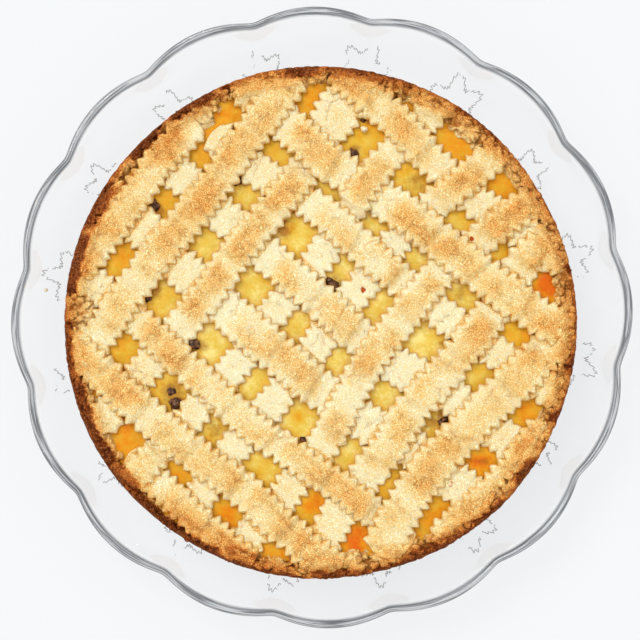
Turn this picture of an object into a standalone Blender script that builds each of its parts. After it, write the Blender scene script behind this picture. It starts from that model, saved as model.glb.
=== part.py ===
"""A baked ricotta pie under a woven lattice of pinked pastry strips, in a scalloped clear glass dish.

Metres, +Z up. The origin is the middle of the dish's underside, on the table.
The pie has its own frame, turned so that the lattice runs along its X (across strips) and its Y
(down strips). Lengths in the strip tables are millimetres in that frame.
"""

from math import atan2, ceil, cos, exp, hypot, pi, radians, sin

import bmesh
import bpy
from mathutils import Vector

# Driving dimensions
GAP = 0.0003  # between pieces that touch
PIE_RADIUS = 0.130
PIE_BASE_RADIUS = 0.1245
PIE_HEIGHT = 0.0355  # dish floor to the top of the crust's rim
BASE_THICKNESS = 0.0050
PIE_CENTRE = (-0.0008, -0.0028)  # the pie sits a little off the dish's middle
LATTICE_TURN = radians(-45)

DISH_RADIUS = 0.160
DISH_HEIGHT = 0.0245
GLASS = 0.0038
LOBES = 16
LOBE_DEPTH = 0.0043
NOTCH_ANGLE = radians(13.2)  # where one notch between two lobes lies
NOTCH_ROUNDING = 0.16

STRIP_MIDDLE = 0.0034  # pastry thickness along the middle of a strip
STRIP_EDGE = 0.0024  # and between its teeth
STRIP_TIP = 0.0014  # and at the tips of its teeth
TOOTH_PITCH = 0.0052
TOOTH_DEPTH = 0.0024
SEAM = 0.0009  # the strip's underside stops this far inside its teeth
SOLE_INSET = 0.0005  # and this far inside its ends
CURVE_STEPS = 60
END_GAP = 0.0010  # between the middle of a strip's end and the rim
FACET = 0.00035  # how far a strip's facets may stray from its true shape
CLIMB = 0.0013  # most height between two points of a strip's middle line
SPINE_STEP = 0.0025  # a wider strip has room for longer facets: half its width over this
LIFT = STRIP_MIDDLE + 2.6 * GAP  # how far a strip climbs over another
SAG_REACH = 0.0048  # a strip sinks again this far from the one it crosses
SAG_SHARE = 0.62
CLEAR_SIDE = 0.0007

# Levels and radii that follow
PIE_BOTTOM = GLASS + GAP
CREST = PIE_BOTTOM + PIE_HEIGHT
LEDGE = CREST - 0.0056  # top of the wall, where the strips' ends lie
FILL_EDGE = LEDGE + 0.0004  # what the strips rest on, at the wall
FILL_DOME = 0.0024  # its rise towards the middle
RIM_INNER = 0.1210  # inner edge of the raised rim
WALL_TOP = 0.1168  # inner radius of the wall at the ledge
WALL_FOOT = 0.1120  # and at the base
PIE_STEPS = 72
FILL_RINGS = 5
CHIP_FLATNESS = 0.85  # a chip's width over its length
SLIVER = 0.00008  # shorter edges than this are closed up where the chips join the filling
DISH_STEPS = LOBES * 5

# Strips that run across: name, width over the teeth, route of the middle line.
ACROSS = (
    ("across_1", 18.0, ((-92, 94), (-50, 99), (-20, 98), (10, 99), (35, 103.5), (68, 108.5))),
    ("across_2", 20.0, ((-117, 57), (-86, 59), (-60, 60), (-40, 63.5), (0, 70), (40, 75),
        (76, 80.5), (100, 88))),
    ("across_3", 17.5, ((-107, 29.5), (-75.5, 32), (-40, 40), (0, 42.5), (44.5, 47), (74, 52.5),
        (118, 60))),
    ("across_4", 19.0, ((-124, 2), (-70.5, 4), (-40, 5.5), (0, 8), (30, 10), (48, 13.5),
        (75.5, 21), (126, 26))),
    ("across_5", 21.0, ((-124, -30), (-66.5, -30), (-40, -29), (0, -26), (20, -24.5), (54, -19),
        (77, -12.5), (126, -6))),
    ("across_6", 16.5, ((-106, -68), (-70.5, -64.5), (-40, -63.5), (0, -62), (20, -60.5),
        (40, -56.5), (80.5, -49.5), (112, -48.5))),
    ("across_7", 18.5, ((-92, -96.5), (-60.5, -96), (-30, -95), (0, -92), (30, -87.5),
        (60.5, -86.5), (98, -82))),
    ("across_8", 16.0, ((-22, -114.5), (0, -115), (25, -114.5), (62, -111))),
)
# Strips that run down, from the top.
DOWN = (
    ("down_1", 17.0, ((-115.5, 28), (-115, 0), (-111.5, -20), (-107.5, -40), (-103.5, -55.5),
        (-97.5, -70))),
    ("down_2", 18.5, ((-101, 86), (-95.5, 60.5), (-90.5, 30), (-85.5, 0), (-83, -30), (-79, -58),
        (-74.5, -83), (-72, -102))),
    ("down_3", 18.0, ((-71.5, 92), (-66.5, 70.5), (-60, 45), (-57, 15), (-54, -10), (-50, -35),
        (-46, -79.5), (-43, -118))),
    ("down_4", 16.5, ((-35.5, 122), (-35, 83), (-31, 55.5), (-23.5, 22.5), (-20.5, -10),
        (-15, -45), (-12.5, -90), (-11.5, -126))),
    ("down_5", 17.0, ((2.5, 126), (0, 98), (-2, 80), (-2, 55.5), (2, 25), (6, -7.5), (11.5, -45),
        (14, -75.5), (21, -119))),
    ("down_6", 17.5, ((32, 122), (27.5, 87), (25, 58), (27.5, 30), (32, 0), (38, -20), (44, -40),
        (48.5, -70.5), (52, -112))),
    ("down_7", 19.0, ((52, 110), (51.5, 94), (57.5, 65.5), (60.5, 40), (64, 0), (68.5, -20),
        (71, -40), (76.5, -68), (84, -91))),
    ("down_8", 21.0, ((90.5, 90), (90.5, 50), (90, 30), (90.5, 0), (92, -20), (95.5, -35),
        (104, -62))),
    ("down_9", 10.5, ((113, 44), (117, 22), (118, 0), (118, -20), (115.5, -35))),
)
# Which strip is on top where two cross: one row for each across strip, one letter for each down
# strip. a: the across strip. d: the down strip. A dot: they don't meet.
WEAVE = (
    "..aaddd..",
    ".dadaaaa.",
    ".ddaaddd.",
    "dddaadddd",
    "dddaadddd",
    "ddaaaaad.",
    ".aaaaaa..",
    "...daa...",
)
# Chocolate chips that show at the filling's surface: place in mm, then radius and height in mm.
CHIPS = (
    ((-98.5, -15.5), 2.0, 1.0),
    ((-47.5, 21.0), 1.6, 0.8),
    ((-36.0, -48.0), 2.3, 1.2),
    ((-29.0, -78.5), 2.6, 1.3),
    ((-68.5, -47.5), 1.6, 0.8),
    ((-9.5, 21.5), 1.8, 0.9),
    ((-73.5, 19.5), 1.5, 0.8),
    ((-17.5, 84.5), 1.6, 0.8),
    ((47.5, 36.0), 1.5, 0.8),
    ((77.0, 5.5), 1.7, 0.9),
    ((34.5, -44.5), 1.6, 0.8),
)


# ---------------------------------------------------------------- shapes that follow a rule

def bump(angle, middle, spread):
    """1 at the angle middle, falling to 0 over about spread to each side."""
    off = (angle - middle + pi) % (2 * pi) - pi
    return exp(-((off / spread) ** 2))


def pie_edge(angle):
    """Radius of the crust's outline."""
    return PIE_RADIUS + 0.0003 * sin(3 * angle + 0.9) + 0.00025 * sin(7 * angle + 2.0)


def rim_inner(angle):
    """Radius where the raised rim starts: the strips' ends stop there."""
    low_side = 0.0036 * bump(angle, radians(-80), radians(27))
    sides = 0.0024 * (bump(angle, radians(180), radians(32)) + bump(angle, 0, radians(24)))
    rope = 0.0014 * bump(angle, radians(-40), radians(16))
    return RIM_INNER + low_side + sides - rope + 0.0003 * sin(9 * angle) + 0.0002 * sin(14 * angle + 1.0)


def crest(angle):
    """Height of the rim's top: finger-pressed lumps, and lower where a strip lies along it."""
    lumps = 0.0006 * sin(13 * angle + 0.5) + 0.0004 * sin(23 * angle + 2.2)
    return CREST + lumps - 0.0012 * bump(angle, radians(-80), radians(28))


def support(place):
    """Height of the surface that a strip rests on."""
    return FILL_EDGE + FILL_DOME * (1 - (hypot(*place[:2]) / RIM_INNER) ** 2)


def filling_top(place):
    """Height of the filling: just under the strips, with shallow hollows."""
    x, y = place[0], place[1]
    ripple = sin(x * 95 + 1.3) * sin(y * 83 + 0.4) + 0.6 * sin(x * 150 - y * 120)
    return support(place) - GAP - 0.0005 - 0.0003 * ripple


def smooth_route(points, step):
    """Points about a step apart on a Catmull-Rom curve through the given points, inside the rim."""
    marks = [Vector(p) * 0.001 for p in points]
    marks = [2 * marks[0] - marks[1], *marks, 2 * marks[-1] - marks[-2]]
    fine = []
    for a, b, c, d in zip(marks, marks[1:], marks[2:], marks[3:]):
        for k in range(CURVE_STEPS):
            t = k / CURVE_STEPS
            bend = (2 * a - 5 * b + 4 * c - d) * t**2 + (3 * b - a - 3 * c + d) * t**3
            fine.append(0.5 * (2 * b + (c - a) * t + bend))
    fine.append(marks[-2])
    fine = [p for p in fine if p.length <= rim_inner(atan2(p.y, p.x)) - END_GAP]
    lengths = [0.0]
    for a, b in zip(fine, fine[1:]):
        lengths.append(lengths[-1] + (b - a).length)
    count = ceil(lengths[-1] / step)
    route, k = [], 0
    for n in range(count + 1):
        wanted = lengths[-1] * n / count
        while k < len(fine) - 2 and lengths[k + 1] < wanted:
            k += 1
        share = (wanted - lengths[k]) / (lengths[k + 1] - lengths[k])
        route.append(fine[k].lerp(fine[k + 1], share))
    return route


def distance_to(route, place):
    """Shortest distance from a place to a route."""
    nearest = 1.0
    for a, b in zip(route, route[1:]):
        along = b - a
        t = max(0.0, min(1.0, (place - a).dot(along) / along.length_squared))
        nearest = min(nearest, (a + along * t - place).length)
    return nearest


# ---------------------------------------------------------------- lattice

class Strip:
    """One lattice strip: its route, its width, and the strips it passes over and under."""

    def __init__(self, name, width, points):
        self.name = name
        self.half = width * 0.0005
        self.route = smooth_route(points, TOOTH_PITCH / 2)
        self.over = []
        self.under = []

    def side(self, k):
        """Unit vector across the strip at station k, to the left of its route."""
        ahead = self.route[min(k + 1, len(self.route) - 1)] - self.route[max(k - 1, 0)]
        return Vector((-ahead.y, ahead.x)).normalized()

    def inside(self, k, across, margin):
        """The offset across at station k, cut back to stay inside the rim."""
        place, side = self.route[k], self.side(k)

        def fits(t):
            p = place + side * t
            return p.length <= rim_inner(atan2(p.y, p.x)) - margin

        if fits(across):
            return across
        fitting, too_far = 0.0, across
        for _ in range(18):
            middle = (fitting + too_far) / 2
            if fits(middle):
                fitting = middle
            else:
                too_far = middle
        return fitting

    def lift(self, place):
        """How far the strip is raised: full over another strip, none under one, sagging between."""
        beyond = {}
        for key, others in (("over", self.over), ("under", self.under)):
            reach = [distance_to(o.route, place) - o.half - CLEAR_SIDE for o in others]
            beyond[key] = max(0.0, min(reach)) if reach else 1.0
        if not self.over:
            return 0.0
        share = beyond["under"] / max(beyond["under"] + beyond["over"], 1e-9)
        sag = min(1.0, beyond["over"] / SAG_REACH)
        return LIFT * share * (1 - SAG_SHARE * sag * sag * (3 - 2 * sag))


def weave():
    """All strips, each told which others it crosses and which of the two is on top."""
    across = [Strip(*row) for row in ACROSS]
    down = [Strip(*row) for row in DOWN]
    for a, letters in zip(across, WEAVE):
        for d, letter in zip(down, letters):
            if letter == ".":
                continue
            upper, lower = (a, d) if letter == "a" else (d, a)
            upper.over.append(lower)
            lower.under.append(upper)
    return across + down


def spine_points(places, reach):
    """The places of a strip's middle line, without those that a straight line stands in for."""
    kept, start, last = [places[0]], 0, len(places) - 1
    while start < last:
        end = start + 1
        while end < last and end - start < reach:
            first, further = places[start], places[end + 1]
            inner = places[start + 1:end + 1]
            shares = [n / (end + 1 - start) for n in range(1, end + 1 - start)]
            worst = max((first.lerp(further, t) - p).length for t, p in zip(shares, inner))
            if worst > FACET or abs(further.z - first.z) > CLIMB:
                break
            end += 1
        kept.append(places[end])
        start = end
    return kept


def sole_points(places, phase):
    """The places of one side of a strip's underside: one at each gap between teeth, more on a bend."""
    last = len(places) - 1
    kept = []
    for k, place in enumerate(places):
        if k in (0, last) or (k + phase) % 2:
            kept.append(place)
        elif (places[k - 1].lerp(places[k + 1], 0.5) - place).length > FACET:
            kept.append(place)
    return kept


def zip_rows(bm, first, second):
    """Triangles between two rows of vertices that don't pair up: the shorter diagonal each time."""
    i = j = 0
    while i < len(first) - 1 or j < len(second) - 1:
        step_first = j == len(second) - 1
        if not step_first and i < len(first) - 1:
            step_first = (first[i + 1].co - second[j].co).length <= (first[i].co - second[j + 1].co).length
        if step_first:
            bm.faces.new((first[i], first[i + 1], second[j]))
            i += 1
        else:
            bm.faces.new((first[i], second[j + 1], second[j]))
            j += 1


def strip_mesh(strip):
    """A loft from the toothed upper outline down to a plain, narrower underside."""
    sole_half = strip.half - TOOTH_DEPTH - SEAM
    sides = {"left": (1, 0), "right": (-1, 1)}
    edges = {"left": [], "right": []}
    soles = {"left": [], "right": []}
    spine = []
    for k, base in enumerate(strip.route):
        side = strip.side(k)
        for name, (sign, phase) in sides.items():
            tip = (k + phase) % 2 == 0
            wanted = strip.half - (0 if tip else TOOTH_DEPTH)
            place = base + side * strip.inside(k, sign * wanted, GAP)
            height = support(place) + strip.lift(place) + (STRIP_TIP if tip else STRIP_EDGE)
            edges[name].append(Vector((*place, height)))
            place = base + side * strip.inside(k, sign * sole_half, GAP + SOLE_INSET)
            soles[name].append(Vector((*place, support(place) + strip.lift(place))))
        middle = (strip.inside(k, strip.half, GAP) + strip.inside(k, -strip.half, GAP)) / 2
        place = base + side * middle
        spine.append(Vector((*place, support(place) + strip.lift(place) + STRIP_MIDDLE)))
    rows = (
        edges["left"],
        spine_points(spine, int(strip.half / SPINE_STEP)),
        edges["right"],
        sole_points(soles["right"], 1),
        sole_points(soles["left"], 0),
    )
    bm = bmesh.new()
    rows = [[bm.verts.new(place) for place in row] for row in rows]
    for first, second in zip(rows, rows[1:] + rows[:1]):
        zip_rows(bm, first, second)
    for end in (0, -1):
        bm.faces.new([row[end] for row in rows])
    bmesh.ops.triangulate(bm, faces=[f for f in bm.faces if len(f.verts) > 3])
    bmesh.ops.recalc_face_normals(bm, faces=bm.faces)
    mesh = bpy.data.meshes.new(strip.name)
    bm.to_mesh(mesh)
    bm.free()
    return mesh


# ---------------------------------------------------------------- turned pieces

def turned(name, profile, steps):
    """A closed solid of revolution from a profile of (radius, height), as a plain mesh object."""
    line = bpy.data.meshes.new(name + "_profile")
    line.from_pydata([(r, 0, z) for r, z in profile], [(k, k + 1) for k in range(len(profile) - 1)], [])
    guide = bpy.data.objects.new(name + "_profile", line)
    bpy.context.scene.collection.objects.link(guide)
    screw = guide.modifiers.new("Turn", "SCREW")
    screw.steps = screw.render_steps = steps
    screw.use_merge_vertices = True
    screw.merge_threshold = 0.00001
    bpy.context.view_layer.update()
    mesh = bpy.data.meshes.new_from_object(guide.evaluated_get(bpy.context.evaluated_depsgraph_get()))
    bpy.data.objects.remove(guide)
    mesh.name = name
    return bpy.data.objects.new(name, mesh)


def move_vertices(obj, rule):
    """Moves each vertex: rule takes its radius, angle and height and returns a new radius and height."""
    for v in obj.data.vertices:
        angle = atan2(v.co.y, v.co.x)
        radius, height = rule(hypot(v.co.x, v.co.y), angle, v.co.z)
        v.co = Vector((radius * cos(angle), radius * sin(angle), height))


def glass_dish():
    """A flat floor, a flared fluted wall and a rounded scalloped rim."""
    floor = 0.1300
    inner = [(0, GLASS), (floor, GLASS), (0.1370, 0.0057), (0.1450, 0.0112), (0.1528, 0.0190), (0.1566, 0.0236)]
    rim = [(0.1580, DISH_HEIGHT), (0.1596, 0.0238), (DISH_RADIUS, 0.0222)]
    outer = [(0.1560, 0.0166), (0.1478, 0.0080), (0.1385, 0.0022), (0.1290, 0.0004)]
    foot = [(0.1240, 0), (0, 0)]
    dish = turned("glass_dish", inner + rim + outer + foot, DISH_STEPS)

    def flute(radius, angle, height):
        turn = (angle - NOTCH_ANGLE) * LOBES / (2 * pi)
        off = 2 * (turn % 1) - 1  # 0 in the middle of a lobe, 1 at a notch
        arch = 1 - off * off
        notch = 1 - ((arch**2 + NOTCH_ROUNDING**2) ** 0.5 - NOTCH_ROUNDING) / (
            (1 + NOTCH_ROUNDING**2) ** 0.5 - NOTCH_ROUNDING
        )
        share = max(0.0, (radius - floor) / (DISH_RADIUS - floor))
        return radius - LOBE_DEPTH * share**1.2 * notch, height

    move_vertices(dish, flute)
    return dish


def pastry_crust():
    """The pastry case: base, leaning wall and an uneven raised rim."""
    profile = [
        (0, PIE_BOTTOM + BASE_THICKNESS),
        (WALL_FOOT, PIE_BOTTOM + BASE_THICKNESS),
        (WALL_TOP, LEDGE),
        (RIM_INNER, LEDGE + 0.0001),
        (RIM_INNER + 0.0010, CREST - 0.0010),
        (RIM_INNER + 0.0034, CREST),
        (PIE_RADIUS - 0.0018, CREST - 0.0012),
        (PIE_RADIUS, CREST - 0.0045),
        (PIE_RADIUS - 0.0020, PIE_BOTTOM + 0.0180),
        (PIE_BASE_RADIUS, PIE_BOTTOM + 0.0018),
        (PIE_BASE_RADIUS - 0.0018, PIE_BOTTOM),
        (0, PIE_BOTTOM),
    ]
    crust = turned("pastry_crust", profile, PIE_STEPS)

    def uneven(radius, angle, height):
        if height > LEDGE + 0.00005 and radius > WALL_TOP + 0.001:
            share = (radius - RIM_INNER) / (PIE_RADIUS - RIM_INNER)
            radius = rim_inner(angle) + share * (pie_edge(angle) - rim_inner(angle))
            height += (crest(angle) - CREST) * (height - LEDGE) / (CREST - LEDGE)
        elif radius > PIE_BASE_RADIUS - 0.003:
            radius += pie_edge(angle) - PIE_RADIUS
        return radius, height

    move_vertices(crust, uneven)
    return crust


def filling():
    """The ricotta filling: it fills the pastry case up to the strips, with chips at its surface."""
    bottom = PIE_BOTTOM + BASE_THICKNESS + GAP
    slope = (WALL_TOP - WALL_FOOT) / (LEDGE - PIE_BOTTOM - BASE_THICKNESS)
    top_radius = WALL_TOP - 2 * GAP
    rings = [(k * top_radius / FILL_RINGS, FILL_EDGE) for k in range(FILL_RINGS)]
    edge = [(top_radius - 0.0002, FILL_EDGE), (top_radius - slope * 0.0024, LEDGE - 0.0020)]
    sole = [(WALL_FOOT - 2 * GAP, bottom), (0, bottom)]
    body = turned("ricotta_filling", rings + edge + sole, PIE_STEPS)
    for v in body.data.vertices:
        if v.co.z > LEDGE - 0.0010:
            v.co.z = filling_top(v.co)
    return body


def chocolate_chips():
    """Low lumps that stand out of the filling's surface, in one collection of cutters."""
    lumps = bpy.data.collections.new("chocolate_chips")
    bpy.context.scene.collection.children.link(lumps)
    for n, (place, radius, height) in enumerate(CHIPS):
        bm = bmesh.new()
        bmesh.ops.create_uvsphere(bm, u_segments=7, v_segments=4, radius=1.0)
        mesh = bpy.data.meshes.new(f"chip_{n + 1}")
        bm.to_mesh(mesh)
        bm.free()
        spot = Vector(place) * 0.001
        size = Vector((radius, radius * CHIP_FLATNESS, 2 * height)) * 0.001
        middle = filling_top(spot) - 0.001 * height
        for v in mesh.vertices:
            x, y, z = v.co.x * size.x, v.co.y * size.y, v.co.z * size.z
            v.co = (spot.x + x * cos(n) - y * sin(n), spot.y + x * sin(n) + y * cos(n), middle + z)
        lump = bpy.data.objects.new(mesh.name, mesh)
        lump.hide_render = True
        lump.display_type = "WIRE"
        lumps.objects.link(lump)
    return lumps


def fuse(body, lumps):
    """Joins a collection of lumps to a body and removes them."""
    join = body.modifiers.new("Chips", "BOOLEAN")
    join.operation = "UNION"
    join.operand_type = "COLLECTION"
    join.collection = lumps
    join.solver = "EXACT"
    bpy.context.view_layer.update()
    mesh = bpy.data.meshes.new_from_object(body.evaluated_get(bpy.context.evaluated_depsgraph_get()))
    body.modifiers.clear()
    body.data = mesh
    bm = bmesh.new()
    bm.from_mesh(mesh)
    bmesh.ops.triangulate(bm, faces=bm.faces)
    bmesh.ops.remove_doubles(bm, verts=bm.verts, dist=SLIVER)
    bmesh.ops.dissolve_degenerate(bm, edges=bm.edges, dist=SLIVER)
    bm.to_mesh(mesh)
    bm.free()
    for lump in list(lumps.objects):
        bpy.data.objects.remove(lump)
    bpy.data.collections.remove(lumps)


# ---------------------------------------------------------------- materials and assembly

def finish(name, colour, roughness, transmission=0.0):
    """A Principled material."""
    material = bpy.data.materials.new(name)
    material.use_nodes = True
    shader = material.node_tree.nodes["Principled BSDF"]
    shader.inputs["Base Color"].default_value = (*colour, 1)
    shader.inputs["Roughness"].default_value = roughness
    shader.inputs["Transmission Weight"].default_value = transmission
    material.diffuse_color = (*colour, 1)
    return material


def main():
    for old in list(bpy.data.objects):
        bpy.data.objects.remove(old)
    parts = bpy.data.collections.new("ricotta_pie")
    bpy.context.scene.collection.children.link(parts)
    pie = bpy.data.objects.new("pie", None)
    pie.location = (*PIE_CENTRE, 0)
    pie.rotation_euler.z = LATTICE_TURN
    parts.objects.link(pie)

    glass = finish("clear_glass", (0.86, 0.90, 0.91), 0.03, 1.0)
    crust_brown = finish("baked_crust", (0.62, 0.32, 0.11), 0.75)
    strip_gold = finish("lattice_pastry", (0.86, 0.62, 0.29), 0.8)
    ricotta = finish("ricotta", (0.86, 0.66, 0.16), 0.35)

    dish = glass_dish()
    dish.data.materials.append(glass)
    parts.objects.link(dish)

    crust = pastry_crust()
    crust.data.materials.append(crust_brown)
    fill = filling()
    for piece in (crust, fill):
        parts.objects.link(piece)
    fuse(fill, chocolate_chips())
    fill.data.materials.clear()
    fill.data.materials.append(ricotta)

    strips = []
    for strip in weave():
        piece = bpy.data.objects.new("lattice_" + strip.name, strip_mesh(strip))
        piece.data.materials.append(strip_gold)
        parts.objects.link(piece)
        strips.append(piece)
    for piece in (crust, fill, *strips):
        piece.parent = pie
    for piece in (dish, fill, crust):
        piece.data.shade_smooth()
        piece.data.set_sharp_from_angle(angle=radians(40))


main()
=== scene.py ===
"""The looks of a baked ricotta pie under a woven lattice of pinked pastry strips, in a clear scalloped dish.

Metres, +Z up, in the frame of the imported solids. The pie has its own frame, turned so that the
lattice runs along its X (across strips) and its Y (down strips). Routes and spots are millimetres there.
"""

from math import atan2, ceil, cos, pi, radians, sin

import bmesh
import bpy
import numpy as np
from mathutils import Matrix, Vector, noise


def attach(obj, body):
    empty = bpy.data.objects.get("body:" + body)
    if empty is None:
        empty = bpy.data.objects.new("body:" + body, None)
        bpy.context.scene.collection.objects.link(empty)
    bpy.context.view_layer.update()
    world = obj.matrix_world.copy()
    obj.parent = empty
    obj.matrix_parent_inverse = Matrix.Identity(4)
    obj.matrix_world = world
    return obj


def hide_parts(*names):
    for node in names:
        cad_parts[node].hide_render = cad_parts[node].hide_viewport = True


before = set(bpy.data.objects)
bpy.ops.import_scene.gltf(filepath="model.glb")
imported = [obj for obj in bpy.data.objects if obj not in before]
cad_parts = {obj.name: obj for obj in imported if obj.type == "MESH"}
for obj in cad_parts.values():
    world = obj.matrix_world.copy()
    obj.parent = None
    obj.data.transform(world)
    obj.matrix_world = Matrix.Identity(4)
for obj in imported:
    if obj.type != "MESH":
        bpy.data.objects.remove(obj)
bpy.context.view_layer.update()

# ---------------------------------------------------------------- sizes, as in the part's source
MM = 0.001
GAP = 0.0003
PIE_RADIUS = 0.130
PIE_BASE_RADIUS = 0.1245
PIE_HEIGHT = 0.0355
BASE_THICKNESS = 0.0050
PIE_CENTRE = (-0.0008, -0.0028)
LATTICE_TURN = radians(-45)
DISH_RADIUS = 0.160
DISH_HEIGHT = 0.0245
DISH_FLOOR = 0.1300
GLASS = 0.0038
LOBES = 16
LOBE_DEPTH = 0.0043
NOTCH_ANGLE = radians(13.2)
NOTCH_ROUNDING = 0.16
TOOTH_PITCH = 0.0052
TOOTH_DEPTH = 0.0024
SAG_REACH = 0.0048
SAG_SHARE = 0.62
CLEAR_SIDE = 0.0007
END_GAP = 0.0010
PIE_BOTTOM = GLASS + GAP
CREST = PIE_BOTTOM + PIE_HEIGHT
LEDGE = CREST - 0.0056
FILL_EDGE = LEDGE + 0.0004
FILL_DOME = 0.0024
RIM_INNER = 0.1210
WALL_TOP = 0.1168
WALL_FOOT = 0.1120

# ---------------------------------------------------------------- sizes of the finish
STRIP_STEP = 0.00052  # between cross-sections of a strip
RING_TOP = 43  # steps across a strip's upper side
RING_POINTS = 48  # points round a cross-section
STRIP_CROWN = 0.0031  # a strip's thickness along its middle
STRIP_LIP = 0.0008  # and at its toothed edge
STRIP_SPREAD = 0.0011  # how far each edge has spread in baking
EDGE_ROUNDING = 0.0023  # how far in from the edge its top is rounded
DROOP = 0.0009  # how far the teeth hang under the strip's middle
SKIRT = 0.0013  # how far down a strip's flanks reach where it lies on another
RIM_REACH = 0.0062  # how far the strips' ends run over the rim
RIM_SOFTNESS = 0.0030  # over this much before that they are drawn in
SHOULDER_DROP = 0.0009  # they lie this far under the rim's crest
REST = 0.0034  # how far a strip rises where it lies on another
END_ROUNDING = 0.0060  # how far from its end a strip starts to narrow
RIM_BROWN = 0.12  # how far the rim and the strips' ends on it have browned by themselves
FINGERS = 50  # bulges that a full turn of the rim would have
FINGER_TURN = radians(-22)
CRACK_WIDTH = 0.0009  # of the cracks between the pieces of the rim
CRACK_DEPTH = 0.0016
MERGE = 1.6  # degrees over which two pieces of the rim run into each other
FILL_OVERLAP = 0.0006  # how far the cream runs in under the rim
TOASTED_RING = (0.062, 0.055, 0.50)  # the cream is toasted from this radius, over this much, this far
GUIDE_INSET = 0.0006  # the cream measures its distance from this far inside a strip's edge
BEAD_FOOT = 0.0206  # height at which the glass's bead starts
BEAD_FADE = 0.0008
LEAF_SIZE = 0.0150
LEAF_RING = 0.1305  # radius at which the leaves' middles lie
LEAF_LINE = 0.00018  # half the thickness of a frosted line
LEAF_STEP = 0.0007  # between points of a frosted line
LEAF_EDGE = 0.1295  # no leaf is drawn inside this radius
LEAF_POINTS = 92
WHITE = (1.045, 1.105, 1.25)  # how bright a white surface shows under these lights
DISH_SPOKES = 512
CRUST_SPOKES = 1240
FILL_SPOKES = 640
FILL_RINGS = 130
ROUTE_STEPS = 60  # between two points of a strip's route
RIBBON_STEP = 6  # a flat ribbon has a row at every sixth point of its route
CASE_RINGS = 74
CASE_DENSITY = (0.2, 0.2, 0.5, 1.5, 2, 2, 2, 2, 2, 1.5, 1, 0.7, 0.7, 0.7, 0.7)  # of them, span by span
DISH_RINGS = 150
FLOOR_HEIGHT = -0.0002

# The relief of baked pastry: how large each kind of unevenness is across, and how high.
SWELLING = (0.010, 0.0013)
LUMPS = (0.0034, 0.0010)
GRAIN = (0.0011, 0.000336)
PITS = (0.0032, -0.00022)
PRESSED = 0.0042  # size of the lumps that the rim is pressed from
# How the crust browns from the pie's middle outwards: from and to which radius, and by how much.
PALEST = 0.025
OUTWARDS = ((0.045, 0.100, 0.080), (0.108, 0.118, -0.045))
NEAR_RIM = ((0.1120, 0.1210, 0.15), (0.1190, 0.1230, 0.14))
AT_EDGE = ((0.1222, 0.1285, 0.14), (0.1278, 0.1296, 0.22))
SIDE_BROWNING = (CREST - 0.0170, CREST - 0.0030)  # the edge's browning fades down between these heights

# The strips, in the pie's frame: name, width and route in mm.
ACROSS = (
    ("across_1", 18.0, ((-92, 94), (-50, 99), (-20, 98), (10, 99), (35, 103.5), (68, 108.5))),
    ("across_2", 20.0, ((-117, 57), (-86, 59), (-60, 60), (-40, 63.5), (0, 70), (40, 75),
        (76, 80.5), (100, 88))),
    ("across_3", 17.5, ((-107, 29.5), (-75.5, 32), (-40, 40), (0, 42.5), (44.5, 47), (74, 52.5),
        (118, 60))),
    ("across_4", 19.0, ((-124, 2), (-70.5, 4), (-40, 5.5), (0, 8), (30, 10), (48, 13.5),
        (75.5, 21), (126, 26))),
    ("across_5", 21.0, ((-124, -30), (-66.5, -30), (-40, -29), (0, -26), (20, -24.5), (54, -19),
        (77, -12.5), (126, -6))),
    ("across_6", 16.5, ((-106, -68), (-70.5, -64.5), (-40, -63.5), (0, -62), (20, -60.5),
        (40, -56.5), (80.5, -49.5), (112, -48.5))),
    ("across_7", 18.5, ((-92, -96.5), (-60.5, -96), (-30, -95), (0, -92), (30, -87.5),
        (60.5, -86.5), (98, -82))),
    ("across_8", 16.0, ((-22, -114.5), (0, -115), (25, -114.5), (62, -111))),
)
DOWN = (
    ("down_1", 17.0, ((-115.5, 28), (-115, 0), (-111.5, -20), (-108.5, -40), (-107.0, -55.5),
        (-103.5, -70))),
    ("down_2", 18.5, ((-101, 86), (-95.5, 60.5), (-90.5, 30), (-85.5, 0), (-83, -30), (-79, -58),
        (-74.5, -83), (-72, -102))),
    ("down_3", 18.0, ((-71.5, 92), (-66.5, 70.5), (-60, 45), (-57, 15), (-54, -10), (-50, -35),
        (-46, -79.5), (-43, -118))),
    ("down_4", 16.5, ((-35.5, 122), (-35, 83), (-31, 55.5), (-23.5, 22.5), (-20.5, -10),
        (-15, -45), (-12.5, -90), (-11.5, -126))),
    ("down_5", 17.0, ((2.5, 126), (0, 98), (-2, 80), (-2, 55.5), (2, 25), (6, -7.5), (11.5, -45),
        (14, -75.5), (21, -119))),
    ("down_6", 17.5, ((32, 122), (27.5, 87), (25, 58), (27.5, 30), (32, 0), (38, -20), (44, -40),
        (48.5, -70.5), (52, -112))),
    ("down_7", 19.0, ((52, 110), (51.5, 94), (57.5, 65.5), (60.5, 40), (64, 0), (68.5, -20),
        (71, -40), (76.5, -68), (84, -91))),
    ("down_8", 21.0, ((90.5, 90), (90.5, 50), (90, 30), (90.5, 0), (92, -20), (95.5, -35),
        (104, -62))),
    ("down_9", 10.5, ((113, 44), (117, 22), (118, 0), (118, -20), (115.5, -35))),
)
# Which strip is on top, one row for each across strip: a, the across strip; d, the down strip.
WEAVE = (
    "..aaddd..",
    ".dadaaaa.",
    ".ddaaddd.",
    "dddaadddd",
    "dddaadddd",
    "ddaaaaad.",
    ".aaaaaa..",
    "...daa...",
)
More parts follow.
